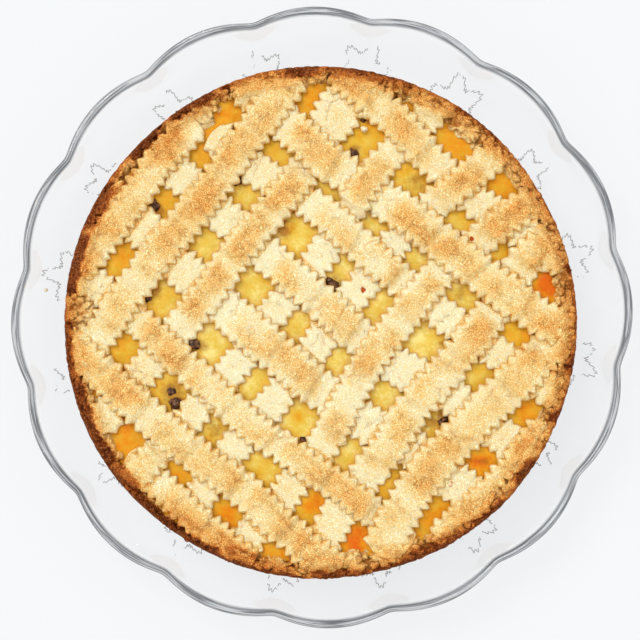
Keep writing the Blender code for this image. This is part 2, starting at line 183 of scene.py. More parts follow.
# Chips at the filling's surface: place, length, height.
CHIPS = (
    ((-101.0, -17.5), 3.0, 1.7),
    ((-50.5, 21.5), 2.5, 1.5),
    ((-38.0, -53.0), 3.4, 1.8),
    ((-22.5, -81.0), 3.2, 1.6),
    ((-29.0, -77.5), 2.4, 0.9),
    ((-71.0, -53.5), 1.9, 1.0),
    ((-9.0, 17.5), 3.6, 1.7),
    ((-80.0, 21.5), 2.2, 1.0),
    ((-49.0, 72.5), 2.5, 1.3),
    ((51.5, 39.5), 2.0, 1.4),
    ((79.0, 9.0), 2.4, 1.3),
    ((36.0, -48.0), 2.0, 1.0),
    ((-57.5, 88.5), 1.8, 1.2),
)
# Two loose bits of pastry, in the frame of the dish: x, y, z, size.
STRAY_BITS = (
    (21.3, 95.2, 37.4, 3.4),
    (-143.6, 14.3, 11.6, 1.8),
)
# Where cocoa has clouded the filling, and where shade in some deep holes is painted as a brown cloud: place,
# reach, strength.
COCOA_AND_SHADE = (
    ((-71.5, -50.0), 6.5, 1.0),
    ((-28.0, -77.5), 8.5, 0.85),
    ((2.0, -76.0), 9.0, 0.50),
    ((-38.0, -52.0), 5.0, 0.70),
    ((-45.5, 20.0), 6.0, 0.85),
    ((-9.0, 19.5), 7.0, 0.60),
    ((-77.0, 20.5), 5.5, 0.60),
    ((-17.0, 85.0), 8.0, 0.60),
    ((40.0, 61.0), 8.0, 0.50),
    ((76.5, 6.0), 7.5, 0.65),
    ((-101.0, -16.5), 5.0, 0.50),
    ((36.0, -48.0), 5.0, 0.65),
    ((107.0, 8.0), 4.0, 0.55),
    ((52.0, 39.0), 5.0, 0.40),
)
# Where filling has stained the pastry: place, reach, strength.
STAINS = (
    ((3.5, 27.0), 2.6, 1.0),
    ((24.0, 84.0), 2.4, 0.9),
    ((38.0, 13.0), 2.6, 0.55),
    ((104.0, -11.0), 3.2, 0.45),
    ((-43.0, -31.0), 3.0, 0.35),
    ((-68.0, -66.0), 3.2, 0.35),
    ((-15.0, -68.0), 3.0, 0.40),
    ((48.0, -23.0), 3.0, 0.40),
    ((-90.0, 64.0), 3.4, 0.35),
    ((66.0, 76.0), 3.4, 0.35),
)
# Where the filling has baked orange: place, reach, strength.
TOASTED = (
    ((90.7, -65.5), 13.0, 1.0),
    ((68.0, 95.8), 14.0, 0.95),
    ((107.0, 7.6), 10.0, 0.8),
    ((63.0, -65.5), 11.0, 0.75),
    ((35.3, -103.3), 10.0, 0.8),
    ((-30.2, -108.4), 10.0, 0.7),
    ((3.4, -104.9), 9.0, 0.55),
    ((-17.3, 113.0), 10.0, 0.40),
    ((-108.1, 42.2), 10.0, 0.6),
    ((26.2, -40.8), 6.0, 0.36),
    ((109.2, -25.5), 9.0, 0.55),
    ((104.6, 41.1), 10.0, 0.62),
    ((17.3, 115.7), 10.0, 0.5),
    ((-44.1, 22.3), 6.0, 0.5),
)
# Strips whose start is wider than the rest, by mm at each side.
FLARED = {"down_3": 3.2, "down_2": 1.5, "across_3": 1.2}
# Where the rim has browned most: direction and half-width in degrees, mm in from its edge, strength.
RIM_DARK = (
    (139, 4.0, 5.5, 0.36), (165, 5.0, 4.5, 0.45), (179.5, 4.5, 5.5, 0.58), (197.5, 5.5, 8.0, 0.42),
    (211.5, 6.5, 6.0, 0.52), (231, 7.0, 4.5, 0.30), (242.5, 4.0, 6.5, 0.48), (253, 6.0, 5.5, 0.60),
    (263.5, 4.5, 8.0, 0.34), (279.5, 12.0, 5.5, 0.52), (300, 10.0, 2.5, 0.60), (301, 8.0, 8.5, 0.20),
    (320, 7.0, 4.5, 0.40), (329, 6.0, 2.4, 0.40), (339, 4.0, 6.5, 0.34), (351, 10.0, 2.6, 0.38),
    (350, 9.0, 6.0, 0.16), (8.5, 2.6, 5.0, 0.46), (23.5, 1.3, 6.0, 0.30), (35.5, 2.5, 3.0, 0.30),
    (57.5, 1.2, 3.5, 0.25), (97, 5.0, 2.4, 0.16), (121, 6.0, 4.5, 0.18), (129, 4.0, 6.0, 0.14),
)
# The rim is pressed together from pieces: where each starts in degrees, then in mm how far it reaches
# in over the filling and how far it stands up.
RIM_PIECES = (
    (7, 2.2, -0.9), (11, 2.4, 0.2), (24, 2.3, 0.0), (35, 2.0, 0.1), (42, 2.8, -0.2), (57, 1.0, 0.3),
    (70, 1.5, 0.0), (85, 0.6, 0.3), (93, 4.0, -0.5), (102, 1.0, 0.2), (115, 2.0, 0.0),
    (133, 1.5, -0.2), (143, 1.0, 0.4), (157, 1.5, -1.3), (160, 5.5, -0.3), (162.5, 9.5, -0.2),
    (170, 3.5, 0.3), (174, 1.0, -0.6), (184, 1.0, 0.2), (192, 3.5, -0.3), (203, 4.0, 0.0),
    (217, 7.5, 0.0), (226, 3.0, 0.2), (238, 3.0, -0.5), (245, 3.5, 0.0), (259, 3.0, 0.3),
    (270, 0.5, -0.9), (291, 0.5, 0.1), (296, 2.5, 0.1), (308, 1.5, 0.3), (317, 4.0, 0.0),
    (326, 3.5, 0.2), (335, 3.0, -0.3), (341, 2.5, 0.3),
)


# ---------------------------------------------------------------- node trees as expressions

class Value:
    """One socket of a node tree, so that maths on it can be written as Python expressions."""

    def __init__(self, graph, socket):
        self.graph = graph
        self.socket = socket

    def __add__(self, other):
        return self.graph.maths("ADD", self, other)

    def __radd__(self, other):
        return self.graph.maths("ADD", other, self)

    def __sub__(self, other):
        return self.graph.maths("SUBTRACT", self, other)

    def __rsub__(self, other):
        return self.graph.maths("SUBTRACT", other, self)

    def __mul__(self, other):
        return self.graph.maths("MULTIPLY", self, other)

    def __rmul__(self, other):
        return self.graph.maths("MULTIPLY", other, self)

    def __truediv__(self, other):
        return self.graph.maths("DIVIDE", self, other)

    def __rtruediv__(self, other):
        return self.graph.maths("DIVIDE", other, self)

    def __pow__(self, other):
        return self.graph.maths("POWER", self, other)

    def __mod__(self, other):
        return self.graph.maths("FLOORED_MODULO", self, other)

    def __neg__(self):
        return self.graph.maths("MULTIPLY", self, -1.0)

    def output(self, name):
        """Another output of the same node."""
        return Value(self.graph, self.socket.node.outputs[name])


def set_inputs(tree, node, inputs):
    """Links or sets a node's sockets: a number on a vector socket counts for all three."""
    for key, value in inputs.items():
        socket = node.inputs[key]
        if isinstance(value, Value):
            tree.links.new(value.socket, socket)
        elif socket.type == "VECTOR" and isinstance(value, (int, float)):
            socket.default_value = (value,) * 3
        elif socket.type == "RGBA" and len(value) == 3:
            socket.default_value = (*value, 1.0)
        else:
            socket.default_value = value


class Graph:
    """Adds nodes to a shader tree or a geometry tree."""

    def __init__(self, tree):
        self.tree = tree

    def add(self, kind, settings=None, inputs=None, output=0):
        """One node of any kind: its settings first, then its sockets. Gives one of its outputs."""
        node = self.tree.nodes.new(kind)
        for name, value in (settings or {}).items():
            if name == "stops":
                ramp = node.color_ramp.elements
                while len(ramp) < len(value):
                    ramp.new(0.5)
                for stop, (place, colour) in zip(ramp, value):
                    stop.position = place
                    stop.color = (*colour, 1.0)
            else:
                setattr(node, name, value)
        set_inputs(self.tree, node, inputs or {})
        return Value(self, node.outputs[output])

    def maths(self, operation, *values):
        """A Math node, or a Vector Math node where one of the values is a vector."""
        vector = any(
            v.socket.type == "VECTOR" if isinstance(v, Value) else not isinstance(v, (int, float))
            for v in values
        )
        kind = "ShaderNodeVectorMath" if vector else "ShaderNodeMath"
        return self.add(kind, {"operation": operation}, dict(enumerate(values)))

    def ease(self, value, low, high, start=0.0, end=1.0):
        """A smooth step from start at low to end at high."""
        inputs = {"Value": value, "From Min": low, "From Max": high, "To Min": start, "To Max": end}
        return self.add("ShaderNodeMapRange", {"interpolation_type": "SMOOTHSTEP"}, inputs)

    def steps(self, value, rows):
        """The sum of some smooth steps: each row says from where, to where and how high."""
        return sum(self.ease(value, low, high, 0.0, rise) for low, high, rise in rows)

    def limit(self, value):
        """The value, kept between 0 and 1."""
        return self.maths("MINIMUM", self.maths("MAXIMUM", value, 0.0), 1.0)

    def noise(self, place, size, detail=2.0, roughness=0.55):
        """Cloudy noise, 0 to 1, with features about size across."""
        inputs = {"Vector": place, "Scale": 1 / size, "Detail": detail, "Roughness": roughness}
        return self.add("ShaderNodeTexNoise", None, inputs)

    def uneven(self, place, size, height, detail=1.0, roughness=0.55):
        """Cloudy noise that swings by height in all, half of it up and half of it down."""
        return (self.noise(place, size, detail, roughness) - 0.5) * height

    def astray(self, place, size, reach):
        """A place moved a little aside by noise, so that a pattern on it wanders."""
        return place + (self.noise(place, size, 2.0).output("Color") - 0.5) * reach

    def cells(self, place, size, feature="F1"):
        """Distances in a pattern of cells about size across."""
        return self.add("ShaderNodeTexVoronoi", {"feature": feature}, {"Vector": place, "Scale": 1 / size})

    def blend(self, factor, first, second):
        """A mix of two colours."""
        return self.add("ShaderNodeMix", {"data_type": "RGBA"}, {0: factor, 6: first, 7: second}, output=2)

    def ramp(self, value, stops):
        """A colour ramp. Each stop is a place and a colour."""
        return self.add("ShaderNodeValToRGB", {"stops": stops}, {"Fac": value})

    def relief(self, height, strength):
        """The normal of a surface with fine relief, in a material."""
        inputs = {"Strength": strength, "Distance": 0.0006, "Height": height}
        return self.add("ShaderNodeBump", None, inputs)

    def parts(self, vector):
        """A vector's x, y and z."""
        split = self.add("ShaderNodeSeparateXYZ", None, {"Vector": vector})
        return split, split.output("Y"), split.output("Z")

    def join(self, x, y, z):
        """The vector of three numbers."""
        return self.add("ShaderNodeCombineXYZ", None, {"X": x, "Y": y, "Z": z})

    def point(self):
        """The place of each point, in a geometry tree."""
        return self.add("GeometryNodeInputPosition")

    def here(self):
        """The place on a piece, in a material."""
        return self.add("ShaderNodeTexCoord").output("Object")

    def marked(self, *names):
        """The values kept on a piece's points, in a material."""
        return [self.add("ShaderNodeAttribute", {"attribute_name": name}).output("Fac") for name in names]

    def store(self, geometry, name, value):
        """Keeps a value on a geometry's points under a name."""
        kind = "FLOAT_VECTOR" if value.socket.type == "VECTOR" else "FLOAT"
        inputs = {"Geometry": geometry, "Name": name, "Value": value}
        return self.add("GeometryNodeStoreNamedAttribute", {"data_type": kind}, inputs)

    def kept(self, name, kind="FLOAT"):
        """A value kept on a geometry's points."""
        return self.add("GeometryNodeInputNamedAttribute", {"data_type": kind}, {"Name": name})

    def chance(self, low, high, seed):
        """A random number for each point."""
        inputs = {2: low, 3: high, "Seed": seed}
        return self.add("FunctionNodeRandomValue", {"data_type": "FLOAT"}, inputs, output=1)

    def copies(self, points, thing, angles, scale):
        """A copy of a thing at each point, turned by three angles and scaled."""
        turn = self.add("FunctionNodeEulerToRotation", None, {"Euler": angles})
        inputs = {"Points": points, "Instance": thing, "Rotation": turn, "Scale": scale}
        return self.add("GeometryNodeInstanceOnPoints", None, inputs)

    def surface_of(self, thing):
        """The geometry of another object."""
        return self.add("GeometryNodeObjectInfo", None, {"Object": thing}).output("Geometry")

    def distance(self, thing, place):
        """How far a place is from another object's surface."""
        inputs = {"Target": self.surface_of(thing), "Source Position": place}
        return self.add("GeometryNodeProximity", None, inputs).output("Distance")

    def moved(self, geometry, **how):
        """The geometry with its points at a Position or moved by an Offset, where a Selection says so."""
        return self.add("GeometryNodeSetPosition", None, {"Geometry": geometry, **how})

    def even_curve(self, mesh, step):
        """A mesh's edges as a curve with a point at every step."""
        curve = self.add("GeometryNodeMeshToCurve", None, {"Mesh": mesh})
        inputs = {"Curve": curve, "Length": step}
        return self.add("GeometryNodeResampleCurve", {"mode": "LENGTH"}, inputs)

    def swept(self, curve, points, radius, label=None):
        """A tube along a curve. Where a label is given, each point keeps its place in the ring as that."""
        ring = self.add("GeometryNodeCurvePrimitiveCircle", None, {"Resolution": points, "Radius": radius})
        if label:
            ring = self.store(ring, label, self.add("GeometryNodeInputIndex"))
        inputs = {"Curve": curve, "Profile Curve": ring, "Fill Caps": True}
        return self.add("GeometryNodeCurveToMesh", None, inputs)


def apply_to(value, operation, plain):
    """The same function of a socket's value or of a plain number or array."""
    return value.graph.maths(operation, value) if isinstance(value, Value) else plain(value)


def sine(value):
    """The sine of an angle in radians."""
    return apply_to(value, "SINE", np.sin)


def bump(angle, middle, spread):
    """1 at the angle middle, falling to 0 over about spread to each side, angles in degrees."""
    off = ((angle - radians(middle) + pi) % (2 * pi) - pi) / radians(spread)
    return apply_to(-(off * off), "EXPONENT", np.exp)


def geometry_tree(name, **sockets):
    """A geometry tree with named inputs. Gives its graph and a function that reads an input."""
    tree = bpy.data.node_groups.new(name, "GeometryNodeTree")
    tree.interface.new_socket("Geometry", in_out="INPUT", socket_type="NodeSocketGeometry")
    tree.interface.new_socket("Geometry", in_out="OUTPUT", socket_type="NodeSocketGeometry")
    for label, kind in sockets.items():
        tree.interface.new_socket(label.replace("_", " "), in_out="INPUT", socket_type="NodeSocket" + kind)
    graph = Graph(tree)
    return graph, graph.add("NodeGroupInput").output


def end_tree(graph, geometry, material):
    """Ends a tree: real geometry, smooth faces, its material."""
    geometry = graph.add("GeometryNodeRealizeInstances", None, {"Geometry": geometry})
    geometry = graph.add("GeometryNodeSetShadeSmooth", None, {"Geometry": geometry, "Shade Smooth": True})
    geometry = graph.add("GeometryNodeSetMaterial", None, {"Geometry": geometry, "Material": material})
    set_inputs(graph.tree, graph.tree.nodes.new("NodeGroupOutput"), {0: geometry})
    return graph.tree


def show(name, mesh):
    """A new object for a mesh, a light or a camera, in the scene."""
    piece = bpy.data.objects.new(name, mesh)
    bpy.context.scene.collection.objects.link(piece)
    return piece


def mesh_of(name, bm, material=None):
    """The mesh that a bmesh holds, smooth where it has a material."""
    mesh = bpy.data.meshes.new(name)
    bm.to_mesh(mesh)
    bm.free()
    if material:
        mesh.materials.append(material)
        mesh.shade_smooth()
    return mesh


def points_of(mesh):
    """All the points of a mesh, one row for each."""
    return np.array([v.co for v in mesh.vertices])


def mark(mesh, **values):
    """Keeps one number for each point of a mesh, under each name."""
    for name, numbers in values.items():
        mesh.attributes.new(name, "FLOAT", "POINT").data.foreach_set("value", numbers.astype(np.float32))


def grow(name, base, tree, place=None, **inputs):
    """The plain mesh that a geometry tree makes from a base mesh, as a new object."""
    piece = show(name, base)
    modifier = piece.modifiers.new("Grow", "NODES")
    modifier.node_group = tree
    for item in tree.interface.items_tree:
        label = item.name.replace(" ", "_")
        if item.in_out == "INPUT" and label in inputs:
            modifier[item.identifier] = inputs[label]
    bpy.context.view_layer.update()
    mesh = bpy.data.meshes.new_from_object(piece.evaluated_get(bpy.context.evaluated_depsgraph_get()))
    piece.modifiers.clear()
    piece.data = mesh
    mesh.name = name
    if place:
        mesh.transform(place)
    return piece


PIE_PLACE = Matrix.Translation((*PIE_CENTRE, 0)) @ Matrix.Rotation(LATTICE_TURN, 4, "Z")


# ---------------------------------------------------------------- shapes that follow a rule

def rim_inner(angle):
    """Radius where the raised rim starts."""
    low_side = 0.0036 * bump(angle, -80, 27)
    sides = 0.0024 * (bump(angle, 180, 32) + bump(angle, 0, 24))
    rope = 0.0014 * bump(angle, -40, 16)
    return RIM_INNER + low_side + sides - rope + 0.0003 * sine(9 * angle) + 0.0002 * sine(14 * angle + 1.0)


def pie_edge(angle):
    """Outer radius of the rim."""
    return PIE_RADIUS + 0.0003 * sine(3 * angle + 0.9) + 0.00025 * sine(7 * angle + 2.0)


def support(radius):
    """Height of the surface that a strip rests on."""
    return FILL_EDGE + FILL_DOME * (1 - (radius / RIM_INNER) ** 2)


def between(a, b, c, d, t):
    """The place at the share t of the way from b to c, on a Catmull-Rom curve through four places."""
    bend = (2 * a - 5 * b + 4 * c - d) * t**2 + (3 * b - a - 3 * c + d) * t**3
    return 0.5 * (2 * b + (c - a) * t + bend)


def smooth_route(points, reach):
    """A curve through points, as far as it stays inside the rim plus reach."""
    marks = [Vector(p) * MM for p in points]
    marks = [2 * marks[0] - marks[1], *marks, 2 * marks[-1] - marks[-2]]
    fine = []
    for four in zip(marks, marks[1:], marks[2:], marks[3:]):
        fine += [between(*four, k / ROUTE_STEPS) for k in range(ROUTE_STEPS)]
    fine.append(marks[-2])
    return [p for p in fine if p.length <= rim_inner(atan2(p.y, p.x)) + reach]


def length_of(route):
    """The length of a route."""
    return sum((b - a).length for a, b in zip(route, route[1:]))


def spoke_angles(spokes):
    """The angle of each of some even spokes."""
    return np.arange(spokes) * (2 * pi / spokes)


def lathe(name, rings, spokes):
    """A closed mesh of rings from pole to pole. Each ring is an array of radii, and one of heights."""
    angles = spoke_angles(spokes)
    verts, rows = [], []
    for radii, heights in rings:
        if np.ndim(radii) == 0 and radii == 0:
            rows.append([len(verts)])
            verts.append((0.0, 0.0, float(np.mean(heights))))
            continue
        radii = np.broadcast_to(radii, spokes)
        heights = np.broadcast_to(heights, spokes)
        rows.append(list(range(len(verts), len(verts) + spokes)))
        verts.extend(zip(radii * np.cos(angles), radii * np.sin(angles), heights))
    faces = []
    for first, second in zip(rows, rows[1:]):
        for k in range(spokes):
            n = (k + 1) % spokes
            if len(first) == 1:
                faces.append((first[0], second[k], second[n]))
            elif len(second) == 1:
                faces.append((first[k], second[0], first[n]))
            else:
                faces.append((first[k], second[k], second[n], first[n]))
    mesh = bpy.data.meshes.new(name)
    mesh.from_pydata([tuple(map(float, v)) for v in verts], [], faces)
    mesh.validate()
    mesh.shade_smooth()
    return mesh


def rounded(points, count, density=()):
    """About count points on a smooth curve through a profile of (radius, height), even along it or
    denser on some spans. Radii and heights may be arrays, one value for each spoke."""
    points = [(np.asarray(r, float), np.asarray(z, float)) for r, z in points]
    ends = [points[0], *points, points[-1]]
    spans = []
    for (r, z), (next_r, next_z) in zip(points, points[1:]):
        spans.append(float(np.hypot(np.mean(next_r) - np.mean(r), np.mean(next_z) - np.mean(z))))
    spans = [span * many for span, many in zip(spans, density or (1,) * len(spans))]
    rings = []
    for *four, span in zip(ends, ends[1:], ends[2:], ends[3:], spans):
        steps = max(1, round(count * span / sum(spans)))
        for k in range(steps):
            rings.append(tuple(between(*row, k / steps) for row in zip(*four)))
    rings.append(points[-1])
    return rings


# ---------------------------------------------------------------- pastry: relief and browning

def crack_lines(graph, place):
    """1 along thin wandering cracks, 0 elsewhere."""
    lines = graph.cells(graph.astray(place, 0.006, 0.006), 0.013, "DISTANCE_TO_EDGE")
    return graph.ease(lines, 0.0, 0.045, 1.0, 0.0) * graph.ease(graph.noise(place, 0.015, 1.0), 0.54, 0.66)


def crumb_relief(graph, place, crack, strength):
    """Height of a baked shortcrust surface over its smooth form: swellings, lumps, pits and cracks."""
    swelling = graph.uneven(place, *SWELLING)
    lumps = graph.uneven(place, *LUMPS, detail=2.0)
    grain = graph.uneven(place, *GRAIN)
    size, deep = PITS
    pits = graph.ease(graph.cells(place, size), 0.0, 0.42, deep, 0.0)
    return (swelling + lumps + grain + pits) * strength - crack * 0.0006


def crumbly(graph, place):
    """Lumps pressed together with creases between them: height 0 to 1, and 1 in the creases."""
    bent = graph.astray(place, 0.0022, 0.0026)
    lump = graph.ease(graph.cells(bent, PRESSED), 0.0, 0.85, 1.0, 0.0)
    crease = graph.ease(graph.cells(bent, PRESSED, "DISTANCE_TO_EDGE"), 0.0, 0.16, 1.0, 0.0)
    return lump, crease * graph.ease(graph.noise(place, 0.0065, 1.0), 0.40, 0.58)


def dark_places(graph, ragged, angle):
    """How strongly the rim's darkest places have browned, by radius and angle."""
    dark = 0.0
    for middle, half, depth, strength in RIM_DARK:
        off = graph.maths("ABSOLUTE", (angle - radians(middle) + pi) % (2 * pi) - pi)
        here = graph.ease(off, radians(half - 1.0), radians(half + 1.3), strength, 0.0)
        inward = PIE_RADIUS - depth * MM
        dark = graph.maths("MAXIMUM", dark, here * graph.ease(ragged, inward - 0.0012, inward + 0.0010))
    return dark


def browning(graph, place, raised):
    """How far the crust has browned, 0 to 1: the raised places and the rim more, by an uneven oven. On the
    strips, raised also holds painted shade.
    """
    x, y, height = graph.parts(place)
    radius = graph.maths("SQRT", x * x + y * y)
    ragged = radius + graph.uneven(place, 0.006, 0.008, 3.0, 0.7)
    angle = graph.maths("ARCTAN2", y, x) + graph.uneven(place, 0.008, 0.10, 2.0)
    browned = raised + graph.steps(ragged, NEAR_RIM)
    mottled = 0.54 + graph.noise(place, 0.009) * 0.72
    outer = graph.steps(ragged, AT_EDGE) + dark_places(graph, ragged, angle) * mottled
    outer = outer * graph.ease(height + graph.uneven(place, 0.007, 0.010, 3.0), *SIDE_BROWNING)
    patchy = graph.uneven(place, 0.016, 0.55, 2.0) + graph.uneven(place, 0.005, 0.46, 3.0, 0.65)
    return graph.limit(
        PALEST + graph.steps(radius, OUTWARDS) + browned + outer + patchy * (0.26 + browned)
    )


def stains(graph, place):
    """The strongest of the stains at a place in the pie's frame."""
    x, y, _ = graph.parts(graph.astray(place, 0.003, 0.004))
    most = 0.0
    for (u, w), reach, strength in STAINS:
        far = graph.maths("DISTANCE", graph.join(x, y, 0.0), (u * MM, w * MM, 0.0)).output("Value")
        stain = graph.ease(far, reach * MM * 0.2, reach * MM * 1.1, strength, 0.0)
        most = graph.maths("MAXIMUM", most, stain)
    return most


def srgb(red, green, blue):
    """The colour of a surface that shows as these screen values, 0 to 255, under these lights."""
    return tuple(((c / 255 + 0.055) / 1.055) ** 2.4 / white for c, white in zip((red, green, blue), WHITE))


def material(name, roughness, **constants):
    """A Principled material. Gives it, its graph and a function that sets the shader's sockets."""
    new = bpy.data.materials.new(name)
    new.use_nodes = True
    shader = new.node_tree.nodes["Principled BSDF"]

    def finish(**inputs):
        """Sets or links the shader's sockets, whose names' spaces are written as underscores."""
        named = {label.replace("_", " "): value for label, value in inputs.items()}
        set_inputs(new.node_tree, shader, named)

    finish(Roughness=roughness, **constants)
    return new, Graph(new.node_tree), finish


def baked_pastry(name):
    """Shortcrust: cream where it stayed pale, then golden, then brown, sandy and finely cracked, with painted
    shade in its cracks and creases and a painted warm shade on its steep sides.
    """
    new, graph, finish = material(
        name, 0.85, Specular_IOR_Level=0.10,
        Subsurface_Weight=0.12, Subsurface_Radius=(1.3, 0.8, 0.4), Subsurface_Scale=MM,
    )
    place = graph.here()
    brown, cracked, stained = graph.marked("browning", "cracked", "stained")
    sand = graph.ease(graph.noise(place, 0.00055, 1.0, 0.6), 0.34, 0.66)
    crumbs = graph.noise(place, 0.0024, 2.0, 0.6)
    calm = 1 - graph.ease(brown, 0.50, 0.85) * 0.5
    shade = brown + (sand - 0.5) * (0.27 + brown * 0.18) * calm + (crumbs - 0.5) * 0.11 * calm
    colour = graph.ramp(shade, (
        (0.00, srgb(253, 253, 230)),
        (0.18, srgb(253, 237, 180)),
        (0.40, srgb(246, 200, 118)),
        (0.60, srgb(234, 160, 80)),
        (0.76, srgb(200, 114, 46)),
        (0.90, srgb(142, 70, 24)),
        (1.00, srgb(88, 38, 11)),
    ))
    specks = graph.ease(graph.noise(place, 0.0009, 0.0), 0.60, 0.70)
    colour = graph.blend(specks * (0.08 + brown * 0.42), colour, srgb(186, 110, 44))
    hair = graph.cells(graph.astray(place, 0.0012, 0.0016), 0.0021, "DISTANCE_TO_EDGE")
    hair = graph.ease(hair, 0.0, 0.12, 1.0, 0.0) * graph.ease(graph.noise(place, 0.0045, 1.0), 0.46, 0.62)
    hair = hair * graph.ease(brown, 0.16, 0.42, 0.15, 1.0)
    # Painted shade: the cracks, the creases and the hairlines are coloured darker and browner, as shade makes
    # them look.
    deep = graph.blend(graph.ease(brown, 0.3, 0.8), srgb(200, 112, 18), srgb(118, 46, 10))
    colour = graph.blend(graph.maths("MAXIMUM", hair * 0.36, cracked * 0.78), colour, deep)
    # Painted shade: steep faces of pale pastry are tinted a darker, warmer orange, as they look in shade.
    _, _, up = graph.parts(graph.add("ShaderNodeNewGeometry").output("Normal"))
    flank = graph.ease(up, 0.15, 0.82, 0.68, 0.0) * graph.ease(brown, 0.30, 0.55, 1.0, 0.0)
    colour = graph.blend(flank, colour, srgb(250, 186, 68))
    bloom = graph.ease(graph.noise(place, 0.0013, 2.0, 0.7), 0.52, 0.66) * graph.ease(brown, 0.60, 0.85)
    colour = graph.blend(bloom * 0.6, colour, srgb(182, 118, 74))
    spilt = graph.ease(stained + (crumbs - 0.5) * 1.1, 0.35, 0.80)
    colour = graph.blend(spilt, colour, srgb(186, 82, 30))
    finish(Base_Color=colour, Normal=graph.relief(sand * 0.8 + crumbs * 0.9 - hair * 0.8, 1.0))
    return new


# ---------------------------------------------------------------- the lattice

def across_ring(graph):
    """Where a point of the ring lies across the strip, from 1 at its left edge to -1 at its right one,
    and whether it is on the upper side, 1 or 0."""
    step = graph.kept("step")
    top = graph.maths("LESS_THAN", step, RING_TOP + 0.5)
    even = 1 - step * (2 / RING_TOP)
    crowded = even * 0.5 + sine(even * (pi / 2)) * 0.5  # closer together towards the edges
    under = (step - RING_TOP) * 0.4 - 1.0  # the last few points lead back along the underside
    return crowded * top + under * (1 - top), top


def pinked_edge(graph, read, own, along, right):
    """Half the strip's width with its teeth and without them, and a value that is 0 at a tooth's tip
    and 1 between two teeth. The teeth of the right edge are half a tooth further on."""
    drift = graph.uneven(own, 0.011, 0.405)
    tooth = (along - read("First Tooth")) / read("Tooth Pitch") + right * 0.5 + drift
    gap = graph.maths("PINGPONG", tooth, 0.5) * 2.0
    depth = TOOTH_DEPTH * (1.0 + graph.uneven(own, 0.004, 1.6, 0.0))
    edge = (read("Half Width") + STRIP_SPREAD) * (1 + graph.uneven(own, 0.030, 0.12))
    edge = edge + graph.uneven(own, 0.0045, 0.0021) - depth * gap ** 1.3
    to_end = graph.maths("MINIMUM", along, read("Length") - along)
    blunt = graph.maths("SQRT", 1 - graph.limit(1 - to_end / END_ROUNDING) ** 2.5) * 0.85 + 0.15
    flare = read("Flare") * graph.ease(along, 0.012, 0.030, 1.0, 0.0)
    return (edge + flare) * blunt, (read("Half Width") + flare - TOOTH_DEPTH * 0.4) * blunt, gap


def drawn_in(graph, x, y, seed):
    """How far what reaches over the rim shrinks towards the middle, and the radii where the rim's
    slope and the shrinking start."""
    radius = graph.maths("SQRT", x * x + y * y)
    inner = rim_inner(graph.maths("ARCTAN2", y, x))
    ragged = graph.uneven(graph.join(x, y, seed), 0.006, 0.005, 2.0)
    start = inner + RIM_REACH + ragged - RIM_SOFTNESS
    beyond = graph.maths("MAXIMUM", radius - start, 0.0)
    held = start + RIM_SOFTNESS * (1 - apply_to(-(beyond / RIM_SOFTNESS), "EXPONENT", None))
    return 1 + graph.maths("GREATER_THAN", beyond, 0.0) * (held / radius - 1), inner, start


def strip_browning_and_shade(graph, own, over, below, out, gap):
    """How far a strip has browned by itself: its clear middle; and, partly browned and partly painted shade,
    what lies low beside its teeth and next to a strip lying over it.
    """
    gold = graph.ease(below, -0.002, 0.0095) * (1 - graph.ease(over, 0.0, 0.0105) * 0.78)
    gold = gold * (1 - graph.ease(out, 0.38, 1.0) * 0.85)
    gold = gold * graph.ease(graph.noise(own, 0.024, 1.0), 0.25, 0.70, 0.10, 0.40)
    # Partly browning and partly painted shade: darker in the valleys between the teeth, along the very edge,
    # and next to a strip that lies over this one.
    patchiness = graph.ease(graph.noise(own, 0.009, 1.0), 0.46, 0.66)
    valley_browning_and_shade = gap ** 2 * graph.ease(out, 0.60, 1.0) * (0.05 + patchiness * 0.46)
    valley_browning_and_shade = valley_browning_and_shade + graph.ease(out, 0.95, 1.0) * 0.06
    return gold + valley_browning_and_shade + graph.ease(below, 0.0, 0.0016, 1.0, 0.0) * (0.05 + patchiness * 0.22)


